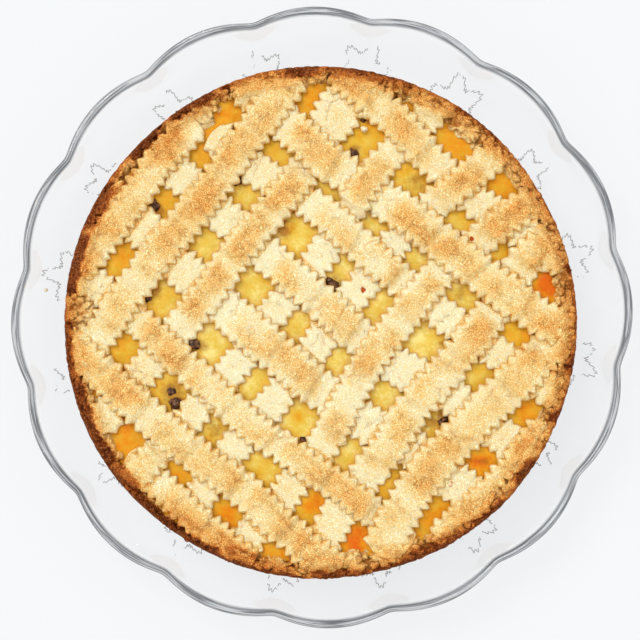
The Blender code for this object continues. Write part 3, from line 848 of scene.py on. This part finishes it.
def strip_tree():
    """A pinked strip along a route: toothed edges, a rounded top, lifted where it crosses over."""
    numbers = ("Half_Width", "Flare", "Length", "Tooth_Pitch", "First_Tooth", "Seed")
    graph, read = geometry_tree(
        "pinked_strip", **dict.fromkeys(numbers, "Float"),
        Passes_Over="Object", Passes_Under="Object", Pastry="Material",
    )
    route = graph.even_curve(read("Geometry"), STRIP_STEP)
    route = graph.store(route, "middle", graph.point())
    route = graph.store(route, "ahead", graph.add("GeometryNodeInputTangent"))
    route = graph.store(route, "along", graph.add("GeometryNodeSplineParameter").output("Length"))
    body = graph.swept(route, RING_POINTS, MM, "step")

    # The outline seen from above: share goes across the strip, out from its middle to either edge.
    middle, ahead = graph.kept("middle", "FLOAT_VECTOR"), graph.kept("ahead", "FLOAT_VECTOR")
    along = graph.kept("along")
    share, top = across_ring(graph)
    out = graph.maths("ABSOLUTE", share)
    right = graph.maths("LESS_THAN", share, 0.0)
    own = middle + graph.join(0.0, 0.0, read("Seed") + right * 3.0)
    edge, straight, gap = pinked_edge(graph, read, own, along, right)
    lean = graph.uneven(own, 0.0065, 0.0030) * out ** 3
    side = graph.maths("CROSS_PRODUCT", (0.0, 0.0, 1.0), ahead)
    half = straight + (edge - straight) * graph.ease(out, 0.30, 0.95)
    x, y, _ = graph.parts(middle + side * (share * half) + ahead * lean)
    own = graph.join(x, y, read("Seed"))
    shrink, inner, start = drawn_in(graph, x, y, read("Seed"))
    flat = graph.join(x * shrink, y * shrink, 0.0)
    radius = graph.maths("SQRT", x * x + y * y) * shrink

    # How far off its neighbours are. It is lifted by 1 where it lies on one, by 0 where it lies under one.
    over, below = (
        graph.maths("MAXIMUM", graph.distance(read(label), flat) - CLEAR_SIDE, 0.0)
        for label in ("Passes Over", "Passes Under")
    )
    sag = graph.limit(over / SAG_REACH)
    lifted = below / (below + over + 1e-6) * (1 - SAG_SHARE * sag * sag * (3 - 2 * sag))

    # What it rests on: the filling or other strips, then the rim, where its end goes down into the crust.
    bed = support(radius)
    climb = (CREST - SHOULDER_DROP - bed) * graph.ease(radius, inner - 0.0060, inner + 0.0022)
    dive = graph.ease(radius, start - 0.0010, start + 0.0030) * 0.0030
    bed = bed + graph.maths("SMOOTH_MAX", lifted * (REST - out ** 3 * DROOP), climb, 0.001) - dive

    # Its thickness, with the relief of baked pastry.
    dome = (1 - graph.limit(1 - edge * (1 - out) / EDGE_ROUNDING) ** 2) ** 0.8
    crack = crack_lines(graph, own)
    grooves = gap * gap * graph.ease(out, 0.40, 0.85) * 0.0005
    relief = crumb_relief(graph, own, crack, dome * 0.75 + 0.25) - grooves
    thinner = graph.ease(radius, inner - 0.0010, inner + 0.0035, 1.0, 0.42)
    thickness = (STRIP_LIP + (STRIP_CROWN - STRIP_LIP) * dome + relief) * thinner
    height = bed + thickness * top - lifted * out * SKIRT * (1 - top)
    x, y, _ = graph.parts(flat)
    body = graph.moved(body, Position=graph.join(x, y, height))

    # What its material reads.
    place = graph.point()
    # Its own browning, with the painted shade in its valleys and next to the strips over it.
    raised = strip_browning_and_shade(graph, own, over, below, out, gap)
    raised = raised + (RIM_BROWN - raised) * graph.ease(radius, inner - 0.0015, inner + 0.0020)
    body = graph.store(body, "cracked", crack * 0.35)
    body = graph.store(body, "stained", stains(graph, place))
    body = graph.store(body, "browning", browning(graph, place, raised))
    for name in ("middle", "ahead", "along", "step"):
        body = graph.add("GeometryNodeRemoveAttribute", None, {"Geometry": body, "Name": name})
    return end_tree(graph, body, read("Pastry"))


def footprint(name, strips):
    """Flat ribbons as wide as the strips, to measure distances from."""
    bm = bmesh.new()
    far = [(1, 1, 0), (1.01, 1, 0), (1.01, 1.01, 0)]  # far off, for a strip that meets no other
    bm.faces.new([bm.verts.new(p) for p in far])
    for half, route in strips:
        rows = []
        for k in range(0, len(route), RIBBON_STEP):
            on = route[min(k + 1, len(route) - 1)] - route[max(k - 1, 0)]
            side = Vector((-on.y, on.x)).normalized() * half
            rows.append([bm.verts.new((*(route[k] + way), 0)) for way in (side, -side)])
        for a, b in zip(rows, rows[1:]):
            bm.faces.new((a[0], a[1], b[1], b[0]))
    return show(name, mesh_of(name, bm))


def crossings(inside):
    """What each strip passes over and what it passes under: their half-widths and routes."""
    over = {name: [] for name in inside}
    below = {name: [] for name in inside}
    for (across, _, _), letters in zip(ACROSS, WEAVE):
        for (down, _, _), letter in zip(DOWN, letters):
            if letter != ".":  # they do meet
                upper, lower = (across, down) if letter == "a" else (down, across)
                over[upper].append(inside[lower])
                below[lower].append(inside[upper])
    return over, below


def lattice(pastry):
    """All the strips, woven."""
    tree = strip_tree()
    rows = {name: (width * MM / 2, points) for name, width, points in ACROSS + DOWN}
    inside = {name: (half, smooth_route(points, -END_GAP)) for name, (half, points) in rows.items()}
    over, below = crossings(inside)
    pieces = []
    for seed, (name, (half, points)) in enumerate(rows.items()):
        route = smooth_route(points, RIM_REACH)
        base = bpy.data.meshes.new(name)
        base.from_pydata([(*p, 0) for p in route], [(k, k + 1) for k in range(len(route) - 1)], [])
        shown = inside[name][1]
        half_teeth = ceil(length_of(shown) / (TOOTH_PITCH / 2))
        guides = [footprint("over", over[name]), footprint("below", below[name])]
        piece = grow(
            "pastry_strip_" + name, base, tree, PIE_PLACE,
            Half_Width=half, Flare=FLARED.get(name, 0) * MM, Length=length_of(route),
            Tooth_Pitch=2 * length_of(shown) / half_teeth,
            First_Tooth=length_of(route[:route.index(shown[0]) + 1]), Seed=seed * 0.37,
            Passes_Over=guides[0], Passes_Under=guides[1], Pastry=pastry,
        )
        for guide in guides:
            bpy.data.objects.remove(guide)
        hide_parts("lattice_" + name)
        pieces.append(piece)
    return pieces


# ---------------------------------------------------------------- the pastry case

def crust_tree():
    """Roughens the case outwards, most at its rim, and browns it."""
    graph, read = geometry_tree("crumbly_crust", Pastry="Material")
    place = graph.point()
    rough = graph.kept("rough")
    lump, crease = crumbly(graph, place)
    crack = graph.maths("MAXIMUM", crack_lines(graph, place) * rough, graph.kept("seam"))
    relief = crumb_relief(graph, place, crack * 0.3, rough)
    relief = relief + ((lump - 0.4) * 0.00115 - crease * 0.00100) * rough
    # The cracks and creases kept here get painted shade from the pastry's material.
    crack = graph.maths("MAXIMUM", crack, crease * rough)
    body = graph.store(read("Geometry"), "cracked", crack)
    body = graph.store(body, "browning", browning(graph, place, RIM_BROWN))
    body = graph.moved(body, Offset=graph.add("GeometryNodeInputNormal") * relief * 1.7)
    return end_tree(graph, body, read("Pastry"))


def rim_piece(angle, wobble):
    """Reach, height and closeness to a seam of the rim's piece at each angle (radians)."""
    table = np.array(RIM_PIECES, float)
    starts = table[:, 0]
    degrees = np.degrees(angle + wobble) % 360
    after = np.searchsorted(starts, degrees, side="right") % len(starts)
    before = (after - 1) % len(starts)
    since = (degrees - starts[before]) % 360
    until = (starts[after] - degrees) % 360
    seam = np.exp(-((np.minimum(since, until) * radians(1) * PIE_RADIUS / CRACK_WIDTH) ** 2))
    share = np.clip(0.5 + since / MERGE, 0.5, 1) * np.clip(0.5 + until / MERGE, 0.5, 1)
    parts = []
    for values in (table[:, 1] * MM, table[:, 2] * MM):
        near = np.where(since < until, values[(before - 1) % len(starts)], values[after])
        parts.append(values[before] * share + near * (1 - share))
    return (*parts, seam)


def case_rings(inner, outer, top):
    """The case's section all round, from the middle of its floor over the rim to its underside: inner
    and outer are the rim's radii for each spoke, and top is its height."""
    level = np.zeros_like(top)
    middle = 0.55 * outer + 0.45 * inner
    foot = outer - PIE_RADIUS + PIE_BASE_RADIUS
    profile = [
        (WALL_FOOT, PIE_BOTTOM + BASE_THICKNESS),
        (WALL_TOP - 0.0040, LEDGE - 0.0100),
        (inner - 0.0016, level + FILL_EDGE - 0.0040),
        (inner - 0.0005, level + FILL_EDGE - 0.0014),
        (inner + 0.0001, level + FILL_EDGE + 0.0004),
        (inner + 0.0013, top - 0.0020),
        (inner + 0.0032, top - 0.0004),
        (middle, top),
        (outer - 0.0022, top - 0.0006),
        (outer - 0.0006, top - 0.0026),
        (outer, top - 0.0056),
        (outer - 0.0010, level + PIE_BOTTOM + 0.0200),
        (outer - 0.0026, level + PIE_BOTTOM + 0.0110),
        (outer - 0.0045, level + PIE_BOTTOM + 0.0040),
        (foot, level + PIE_BOTTOM + 0.0012),
        (foot - 0.0020, PIE_BOTTOM),
    ]
    rings = rounded(profile, CASE_RINGS, CASE_DENSITY)
    return [(0.0, PIE_BOTTOM + BASE_THICKNESS), *rings, (0.0, PIE_BOTTOM)]


def crust(pastry):
    """The case: base, leaning wall and the rim, pressed into bulges at one side."""
    angle = spoke_angles(CRUST_SPOKES)
    roped = bump(angle, -34, 17)
    finger = np.cos((angle - FINGER_TURN) * FINGERS)
    wobble = np.array([noise.noise((cos(a) * 30, sin(a) * 30, 5)) for a in angle])
    ragged = np.array([noise.noise((cos(a) * 90, sin(a) * 90, 2)) for a in angle])
    reach, step, _ = rim_piece(angle, wobble * 0.01)
    inner = rim_inner(angle) - reach - 0.0012 * roped * finger - 0.0004 * ragged
    top = CREST - 0.0006 + step * 0.6 - 0.0016 * bump(angle, -85, 34) - 0.0012 * bump(angle, 185, 26)
    top = top + 0.0012 * roped * (0.4 + finger)
    mesh = lathe("pastry_case", case_rings(inner, pie_edge(angle), top), CRUST_SPOKES)
    x, y, height = points_of(mesh).T
    radius = np.hypot(x, y)
    warp = np.array([noise.noise(v.co * 160) + 0.5 * noise.noise(v.co * 420) for v in mesh.vertices])
    patchy = np.array([noise.noise(v.co * 110 + Vector((4, 0, 0))) for v in mesh.vertices])
    side = np.clip((CREST - 0.0040 - height) / 0.003, 0, 1)
    rough = np.clip((radius - WALL_TOP + 0.003) / 0.003, 0, 1) * (1 - 0.85 * side)
    rough = rough * np.clip((PIE_RADIUS + 0.0003 - radius) / 0.0028, 0.25, 1)
    _, _, seam = rim_piece(np.arctan2(y, x), warp * 0.038)
    seam = seam * np.clip(0.75 + 1.6 * patchy, 0.12, 1)
    seam = seam * np.clip((height - LEDGE) / 0.002, 0, 1) * np.clip((PIE_RADIUS - radius) / 0.001, 0.3, 1)
    for vertex, depth in zip(mesh.vertices, seam * CRACK_DEPTH):
        vertex.co.z -= depth
    mark(mesh, rough=rough, seam=seam)
    piece = grow("baked_case", mesh, crust_tree(), PIE_PLACE, Pastry=pastry)
    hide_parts("pastry_crust")
    return piece


# ---------------------------------------------------------------- crumbs

def crumb_tree():
    """Small rough crumbs scattered over the baked pastry."""
    graph, read = geometry_tree(
        "loose_crumbs", Density="Float", Smallest="Float", Largest="Float", Seed="Int", Pastry="Material",
    )
    _, _, up = graph.parts(graph.add("GeometryNodeInputNormal"))
    points = graph.add("GeometryNodeDistributePointsOnFaces", {"distribute_method": "RANDOM"}, {
        "Mesh": read("Geometry"), "Selection": graph.maths("GREATER_THAN", up, 0.55),
        "Density": read("Density"), "Seed": read("Seed"),
    })
    ball = graph.add("GeometryNodeMeshIcoSphere", None, {"Radius": 1.0, "Subdivisions": 1})
    place = graph.point()
    ball = graph.moved(ball, Offset=place * graph.uneven(place, 0.9, 0.9))
    size = read("Smallest") + (read("Largest") - read("Smallest")) * graph.chance(0.0, 1.0, 3) ** 3
    spin = graph.add("FunctionNodeRandomValue", {"data_type": "FLOAT_VECTOR"}, {0: 0.0, 1: 2 * pi, "Seed": 5})
    crumbs = graph.copies(points, ball, spin, graph.join(1.0, 0.8, 0.65) * size)
    return end_tree(graph, crumbs, read("Pastry"))


def crumbs(strips, case, pastry):
    """Crumbs on the strips and the rim."""
    bm = bmesh.new()
    for piece in (*strips, case):
        bm.from_mesh(piece.data)
    low = [f for f in bm.faces if f.calc_center_median().z < FILL_EDGE + 0.001]
    bmesh.ops.delete(bm, geom=low, context="FACES")
    piece = grow(
        "loose_crumbs", mesh_of("crumbs", bm), crumb_tree(),
        Density=60000.0, Smallest=0.00022, Largest=0.0008, Seed=11, Pastry=pastry,
    )
    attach(piece, "root")


def stray_bits(pastry):
    """A ball of pastry left on the filling and a crumb that fell on the dish."""
    bm = bmesh.new()
    for n, (x, y, z, size) in enumerate(STRAY_BITS):
        for v in bmesh.ops.create_icosphere(bm, subdivisions=3, radius=1.0)["verts"]:
            rough = 1.0 + 0.45 * noise.noise(v.co * 1.4 + Vector((n, 0, 7))) + 0.12 * noise.noise(v.co * 4.1)
            v.co = (v.co * rough * size / 2 + Vector((x, y, z))) * MM
    piece = show("stray_bits", mesh_of("stray_bits", bm, pastry))
    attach(piece, "root")


# ---------------------------------------------------------------- the filling and its chips

def fill_height(x, y):
    """Height of the filling's surface at a place in the pie's frame."""
    ripple = np.sin(x * 95 + 1.3) * np.sin(y * 83 + 0.4) + 0.6 * np.sin(x * 150 - y * 120)
    return support(np.hypot(x, y)) + 0.0001 - 0.0003 * ripple


def spots(x, y, places, wander):
    """The strongest of some soft round spots at each place."""
    most = np.zeros_like(x)
    for (u, w), reach, strength in places:
        right = x - u * MM + wander * np.sin(410 * y + u)
        up = y - w * MM + wander * np.sin(370 * x + w)
        far = np.hypot(right, up) / (reach * MM)
        most = np.maximum(most, strength * np.exp(-(far**2) * 1.6))
    return most


def cream_tree():
    """Lets the cream stand a little higher away from the strips and marks where it lies close to them."""
    graph, read = geometry_tree("settled_cream", Strips="Object", Ricotta="Material")
    place = graph.point()
    x, y, _ = graph.parts(place)
    clear = graph.distance(read("Strips"), graph.join(x, y, 0.0)) + graph.uneven(place, 0.004, 0.0022, 2.0)
    body = graph.store(read("Geometry"), "near", graph.ease(clear, 0.0002, 0.0026, 1.0, 0.0))
    rise = graph.ease(clear, -0.001, 0.0050) * 0.0004 - graph.uneven(place, 0.006, 0.0008)
    body = graph.moved(body, Offset=graph.join(0.0, 0.0, rise * graph.kept("open")))
    return end_tree(graph, body, read("Ricotta"))


def filling(ricotta):
    """The baked ricotta cream, from the case's floor up to the strips."""
    angle = spoke_angles(FILL_SPOKES)
    edge = rim_inner(angle) + FILL_OVERLAP
    rings = [(0.0, fill_height(0.0, 0.0))]
    for k in range(1, FILL_RINGS + 1):
        radii = edge * k / FILL_RINGS
        rings.append((radii, fill_height(radii * np.cos(angle), radii * np.sin(angle))))
    rings += [
        (WALL_TOP, LEDGE - 0.0025),
        (WALL_FOOT - GAP, PIE_BOTTOM + BASE_THICKNESS + GAP),
        (0.0, PIE_BOTTOM + BASE_THICKNESS + GAP),
    ]
    mesh = lathe("ricotta_cream", rings, FILL_SPOKES)
    x, y, z = points_of(mesh).T
    start, width, most = TOASTED_RING
    outside = most * np.clip((np.hypot(x, y) - start) / width, 0, 1) ** 1.2
    halos = tuple((place, 2.0 * length, 1.0) for place, length, _ in CHIPS)
    mark(
        mesh,
        toasted=np.maximum(outside, spots(x, y, TOASTED, 0.002)),
        cocoa=spots(x, y, COCOA_AND_SHADE + halos, 0.0016),
        open=np.clip((z - LEDGE + 0.001) / 0.0005, 0, 1),
    )
    wider = STRIP_SPREAD - GUIDE_INSET
    routes = [(wide * MM / 2 + wider, smooth_route(points, 0)) for _, wide, points in ACROSS + DOWN]
    guide = footprint("guide", routes)
    piece = grow("ricotta_cream", mesh, cream_tree(), PIE_PLACE, Strips=guide, Ricotta=ricotta)
    bpy.data.objects.remove(guide)
    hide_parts("ricotta_filling")
    return piece


def ricotta_cream():
    """Yellow cream with a fine curd, orange where it baked hardest, brown where cocoa clouds it and where
    shade in some deep holes is painted, and darker orange next to the strips, partly browned and partly
    painted contact shade.
    """
    new, graph, finish = material(
        "ricotta_cream", 0.42, Specular_IOR_Level=0.12,
        Subsurface_Weight=0.35, Subsurface_Radius=(1.6, 1.1, 0.4), Subsurface_Scale=MM,
    )
    place = graph.here()
    toasted, cocoa, near = graph.marked("toasted", "cocoa", "near")
    curd = graph.noise(place, 0.0015, 2.0, 0.6)
    shade = toasted * 0.92 + graph.uneven(place, 0.007, 0.80, 3.0, 0.6) + (curd - 0.5) * 0.34 + 0.17
    colour = graph.ramp(shade, (
        (0.00, srgb(226, 213, 140)),
        (0.20, srgb(212, 187, 86)),
        (0.45, srgb(208, 165, 44)),
        (0.72, srgb(212, 139, 10)),
        (1.00, srgb(208, 100, 2)),
    ))
    # Partly browned against the pastry and partly painted contact shade: darker orange next to the strips.
    contact_browning_and_shade = graph.ease(near + graph.uneven(place, 0.0022, 0.9, 2.0), 0.15, 0.95)
    colour = graph.blend(contact_browning_and_shade * 0.26, colour, srgb(240, 168, 36))
    # Cocoa clouds, and painted shade in some deep holes: a brown cloud.
    cocoa_and_shade_smear = graph.ease(cocoa + graph.uneven(place, 0.0030, 0.7, 3.0), 0.14, 0.78)
    colour = graph.blend(cocoa_and_shade_smear * 0.78, colour, srgb(148, 92, 26))
    finish(Base_Color=colour, Normal=graph.relief(graph.noise(place, 0.004) + curd * 0.5, 0.6))
    return new


def chips(chocolate):
    """Half-sunk chips of dark chocolate, each of three softened lumps."""
    bm = bmesh.new()
    for n, ((u, w), length, height) in enumerate(CHIPS):
        seat = Vector((u, w, fill_height(u * MM, w * MM) / MM + 0.2 - 0.5 * height))
        for part, shrink in enumerate((1.0, 0.80, 0.62)):
            tilt = Matrix.Rotation(0.4 * sin(n + part), 3, "X")
            turn = Matrix.Rotation(n * 1.7 + part * 2.3, 3, "Z") @ tilt
            way = n * 2.1 + part * 2.6
            aside = Vector((cos(way), sin(way), 0)) * length * 0.55 * min(part, 1)
            size = Vector((length, length * 0.72, 1.5 * height)) * shrink
            for v in bmesh.ops.create_icosphere(bm, subdivisions=3, radius=1.0)["verts"]:
                rough = 1.1 + 0.38 * noise.noise(v.co * 1.2 + Vector((n, part, 0)))
                rough += 0.16 * noise.noise(v.co * 3.1)
                v.co = (turn @ (v.co * size) * rough + aside + seat) * MM
    mesh = mesh_of("chocolate_chips", bm, chocolate)
    mesh.transform(PIE_PLACE)
    piece = show("chocolate_chips", mesh)
    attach(piece, "root")


def dark_chocolate():
    """Dark chocolate, paler in patches."""
    new, graph, finish = material("dark_chocolate", 0.36, Specular_IOR_Level=0.25)
    patches = graph.ease(graph.noise(graph.here(), 0.0016), 0.40, 0.68)
    finish(Base_Color=graph.blend(patches, srgb(46, 24, 12), srgb(116, 76, 46)))
    return new


# ---------------------------------------------------------------- the glass dish

def dish(glass):
    """The clear dish: flat floor, flared fluted wall, scalloped edge with a round bead."""
    inner = [
        (0.126, GLASS), (DISH_FLOOR, GLASS + 0.0001), (0.1370, 0.0057), (0.1450, 0.0112), (0.1547, 0.0203),
    ]
    bead = [
        (0.1559, 0.0211), (0.1561, 0.0227), (0.1568, 0.0240), (0.1580, DISH_HEIGHT - 0.0001),
        (0.1592, 0.0240), (DISH_RADIUS - 0.0001, 0.0227), (0.1597, 0.0213), (0.1590, 0.0203),
    ]
    outer = [(0.1560, 0.0168), (0.1478, 0.0080), (0.1385, 0.0022), (0.1290, 0.0004), (0.1250, 0.0)]
    turn = (spoke_angles(DISH_SPOKES) - NOTCH_ANGLE) * LOBES / (2 * pi)
    arch = 1 - (2 * (turn % 1) - 1) ** 2  # 0 at the notches, 1 in the middle of each lobe
    widest = (1 + NOTCH_ROUNDING**2) ** 0.5 - NOTCH_ROUNDING
    notch = 1 - ((arch**2 + NOTCH_ROUNDING**2) ** 0.5 - NOTCH_ROUNDING) / widest
    rings, across = [(0.0, GLASS)], [0.0]
    for radius, height in rounded(inner + bead + outer, DISH_RINGS):
        across += [float(radius - bead[0][0]) / (DISH_RADIUS - bead[0][0])] * DISH_SPOKES
        share = max(0.0, (float(radius) - DISH_FLOOR) / (DISH_RADIUS - DISH_FLOOR))
        rings.append((radius - LOBE_DEPTH * share**1.2 * notch, height))
    rings.append((0.0, 0.0))
    across.append(0.0)
    mesh = lathe("glass_dish_finish", rings, DISH_SPOKES)
    heights = points_of(mesh)[:, 2]
    # Where the bead is and its two sides: the glass's colour paints refraction streaks there, and dark lines
    # of shade at the sides.
    thick = np.clip((heights - BEAD_FOOT) / BEAD_FADE, 0, 1)
    flank = thick * np.clip((DISH_HEIGHT - heights) / BEAD_FADE, 0, 1)
    mark(mesh, thick=thick, flank=flank, across=np.array(across))
    mesh.materials.append(glass)
    piece = show("clear_dish", mesh)
    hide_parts("glass_dish")
    return piece


def clear_glass():
    """Clear glass. Its bead has long light and dark streaks painted into its colour, standing in for the
    light it bends, and a painted dark line at each side.
    """
    new, graph, finish = material("clear_glass", 0.02, Transmission_Weight=1.0, IOR=1.48)
    thick, flank, across = graph.marked("thick", "flank", "across")
    x, y, _ = graph.parts(graph.here())
    # Painted reflection and shade: light and dark streaks, and dark lines at the bead's sides, in place of
    # the light the glass bends.
    painted_refraction_streak = graph.noise(graph.join(x / 0.022, y / 0.022, across * 6.5), 1.0, 2.0, 0.5)
    bead = graph.blend(graph.ease(painted_refraction_streak, 0.41, 0.58), (0.035, 0.04, 0.047), (0.60, 0.64, 0.68))
    bead = graph.blend(flank * 0.85, bead, (0.03, 0.034, 0.04))
    colour = graph.blend(thick, (0.970, 0.988, 1.0), bead)
    finish(Base_Color=colour, Alpha=0.10 + thick * 0.86 + flank * 0.04)
    return new


def leaf_outline():
    """One vine leaf's jagged edge, about 1 unit long, pointing along X."""
    lobes = ((0, 1.0), (58, 0.85), (-58, 0.85), (122, 0.62), (-122, 0.62))
    points = []
    for k in range(LEAF_POINTS):
        angle = 2 * pi * k / LEAF_POINTS
        spread = sum(high * float(bump(angle, middle, 19)) for middle, high in lobes)
        radius = 0.50 + 0.50 * spread + (0.07 if k % 2 else -0.07)
        points.append((radius * cos(angle), radius * sin(angle), 0))
    mesh = bpy.data.meshes.new("leaf")
    mesh.from_pydata(points, [(k, (k + 1) % LEAF_POINTS) for k in range(LEAF_POINTS)], [])
    return mesh


def leaf_tree():
    """A wreath of leaf outlines drawn as fine raised lines on the dish's wall."""
    graph, read = geometry_tree(
        "leaf_wreath", Leaves="Int", Ring_Radius="Float", Leaf_Size="Float", Turn="Float", Line="Float",
        Dish="Object", Frosting="Material",
    )
    ring = graph.add("GeometryNodeMeshCircle", None, {
        "Vertices": read("Leaves"), "Radius": read("Ring Radius"),
    })
    ring = graph.add("GeometryNodeTransform", None, {
        "Geometry": ring, "Rotation": graph.join(0.0, 0.0, read("Turn")),
    })
    turn = graph.add("GeometryNodeInputIndex") * (2 * pi / LOBES) + read("Turn") + graph.chance(-0.5, 0.5, 4)
    size = graph.join(1.0, 1.0, 1.0) * read("Leaf Size") * graph.chance(0.85, 1.1, 9)
    wreath = graph.copies(ring, read("Geometry"), graph.join(0.0, 0.0, turn), size)
    wreath = graph.add("GeometryNodeRealizeInstances", None, {"Geometry": wreath})
    lines = graph.even_curve(wreath, LEAF_STEP)
    place = graph.point()
    x, y, _ = graph.parts(place)
    below = graph.add("GeometryNodeRaycast", None, {
        "Target Geometry": graph.surface_of(read("Dish")), "Source Position": graph.join(x, y, 0.1),
        "Ray Direction": (0.0, 0.0, -1.0), "Ray Length": 0.2,
    })
    lines = graph.moved(lines, Position=below.output("Hit Position"))
    hidden = graph.maths("LESS_THAN", graph.maths("SQRT", x * x + y * y), LEAF_EDGE)
    worn = graph.maths("LESS_THAN", graph.noise(place, 0.004, 0.0), 0.40)
    shown = graph.add("GeometryNodeDeleteGeometry", None, {
        "Geometry": graph.add("GeometryNodeCurveToMesh", None, {"Curve": lines}),
        "Selection": graph.maths("MAXIMUM", hidden, worn),
    })
    lines = graph.add("GeometryNodeMeshToCurve", None, {"Mesh": shown})
    return end_tree(graph, graph.swept(lines, 6, read("Line")), read("Frosting"))


def leaf_wreath(on, frosting):
    """The frosted leaves on the dish, one for each lobe."""
    piece = grow(
        "leaf_wreath", leaf_outline(), leaf_tree(),
        Leaves=LOBES, Ring_Radius=LEAF_RING, Leaf_Size=LEAF_SIZE, Turn=NOTCH_ANGLE, Line=LEAF_LINE,
        Dish=on, Frosting=frosting,
    )
    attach(piece, "root")


def frosted_line():
    """Matt grey, as frosted glass looks against a pale ground."""
    new, _, finish = material("frosted_line", 0.5)
    finish(Base_Color=srgb(138, 144, 156))
    return new


# ---------------------------------------------------------------- room, light and camera

def floor():
    """A wide pale floor just under the dish, which glows a little."""
    bm = bmesh.new()
    bmesh.ops.create_grid(bm, x_segments=2, y_segments=2, size=3.0)
    for v in bm.verts:
        v.co.z = FLOOR_HEIGHT
    new, _, finish = material("pale_floor", 0.9, Specular_IOR_Level=0.1, Emission_Strength=0.72)
    finish(Base_Color=(0.165, 0.163, 0.161), Emission_Color=(0.940, 0.970, 1.0))
    mesh = mesh_of("pale_floor", bm, new)
    show("pale_floor", mesh)


def light():
    """A soft key from the upper left and a pale sky, greyer towards the horizon."""
    sun = bpy.data.lights.new("key", "SUN")
    sun.energy = 1.60
    sun.angle = radians(34)
    key = show("key", sun)
    key.rotation_euler = Vector((0.55, -0.62, -1.0)).to_track_quat("-Z", "Y").to_euler()
    world = bpy.data.worlds.new("studio")
    world.use_nodes = True
    graph = Graph(world.node_tree)
    _, _, up = graph.parts(graph.add("ShaderNodeTexCoord").output("Generated"))
    sky = graph.blend(graph.ease(up, 0.02, 0.55), (0.72, 0.72, 0.72), (1.0, 1.0, 1.0))
    set_inputs(world.node_tree, world.node_tree.nodes["Background"], {"Color": sky, "Strength": 1.16})
    bpy.context.scene.world = world


def camera():
    """Straight down over the pie, as the picture was taken."""
    view = bpy.data.cameras.new("overhead")
    view.lens = 96.0
    view.sensor_width = 36.0
    seat = show("overhead", view)
    seat.location = (-0.0010, -0.0013, 0.9)
    bpy.context.scene.camera = seat


camera()
light()
floor()
bpy.context.scene.view_settings.view_transform = "Standard"

lattice_pastry = baked_pastry("lattice_pastry")
strips = lattice(lattice_pastry)
case = crust(baked_pastry("baked_crust"))
crumbs(strips, case, lattice_pastry)
cream = filling(ricotta_cream())
chips(dark_chocolate())
stray_bits(lattice_pastry)
glass_dish = dish(clear_glass())
leaf_wreath(glass_dish, frosted_line())
for piece in (*strips, case, cream, glass_dish):
    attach(piece, "root")
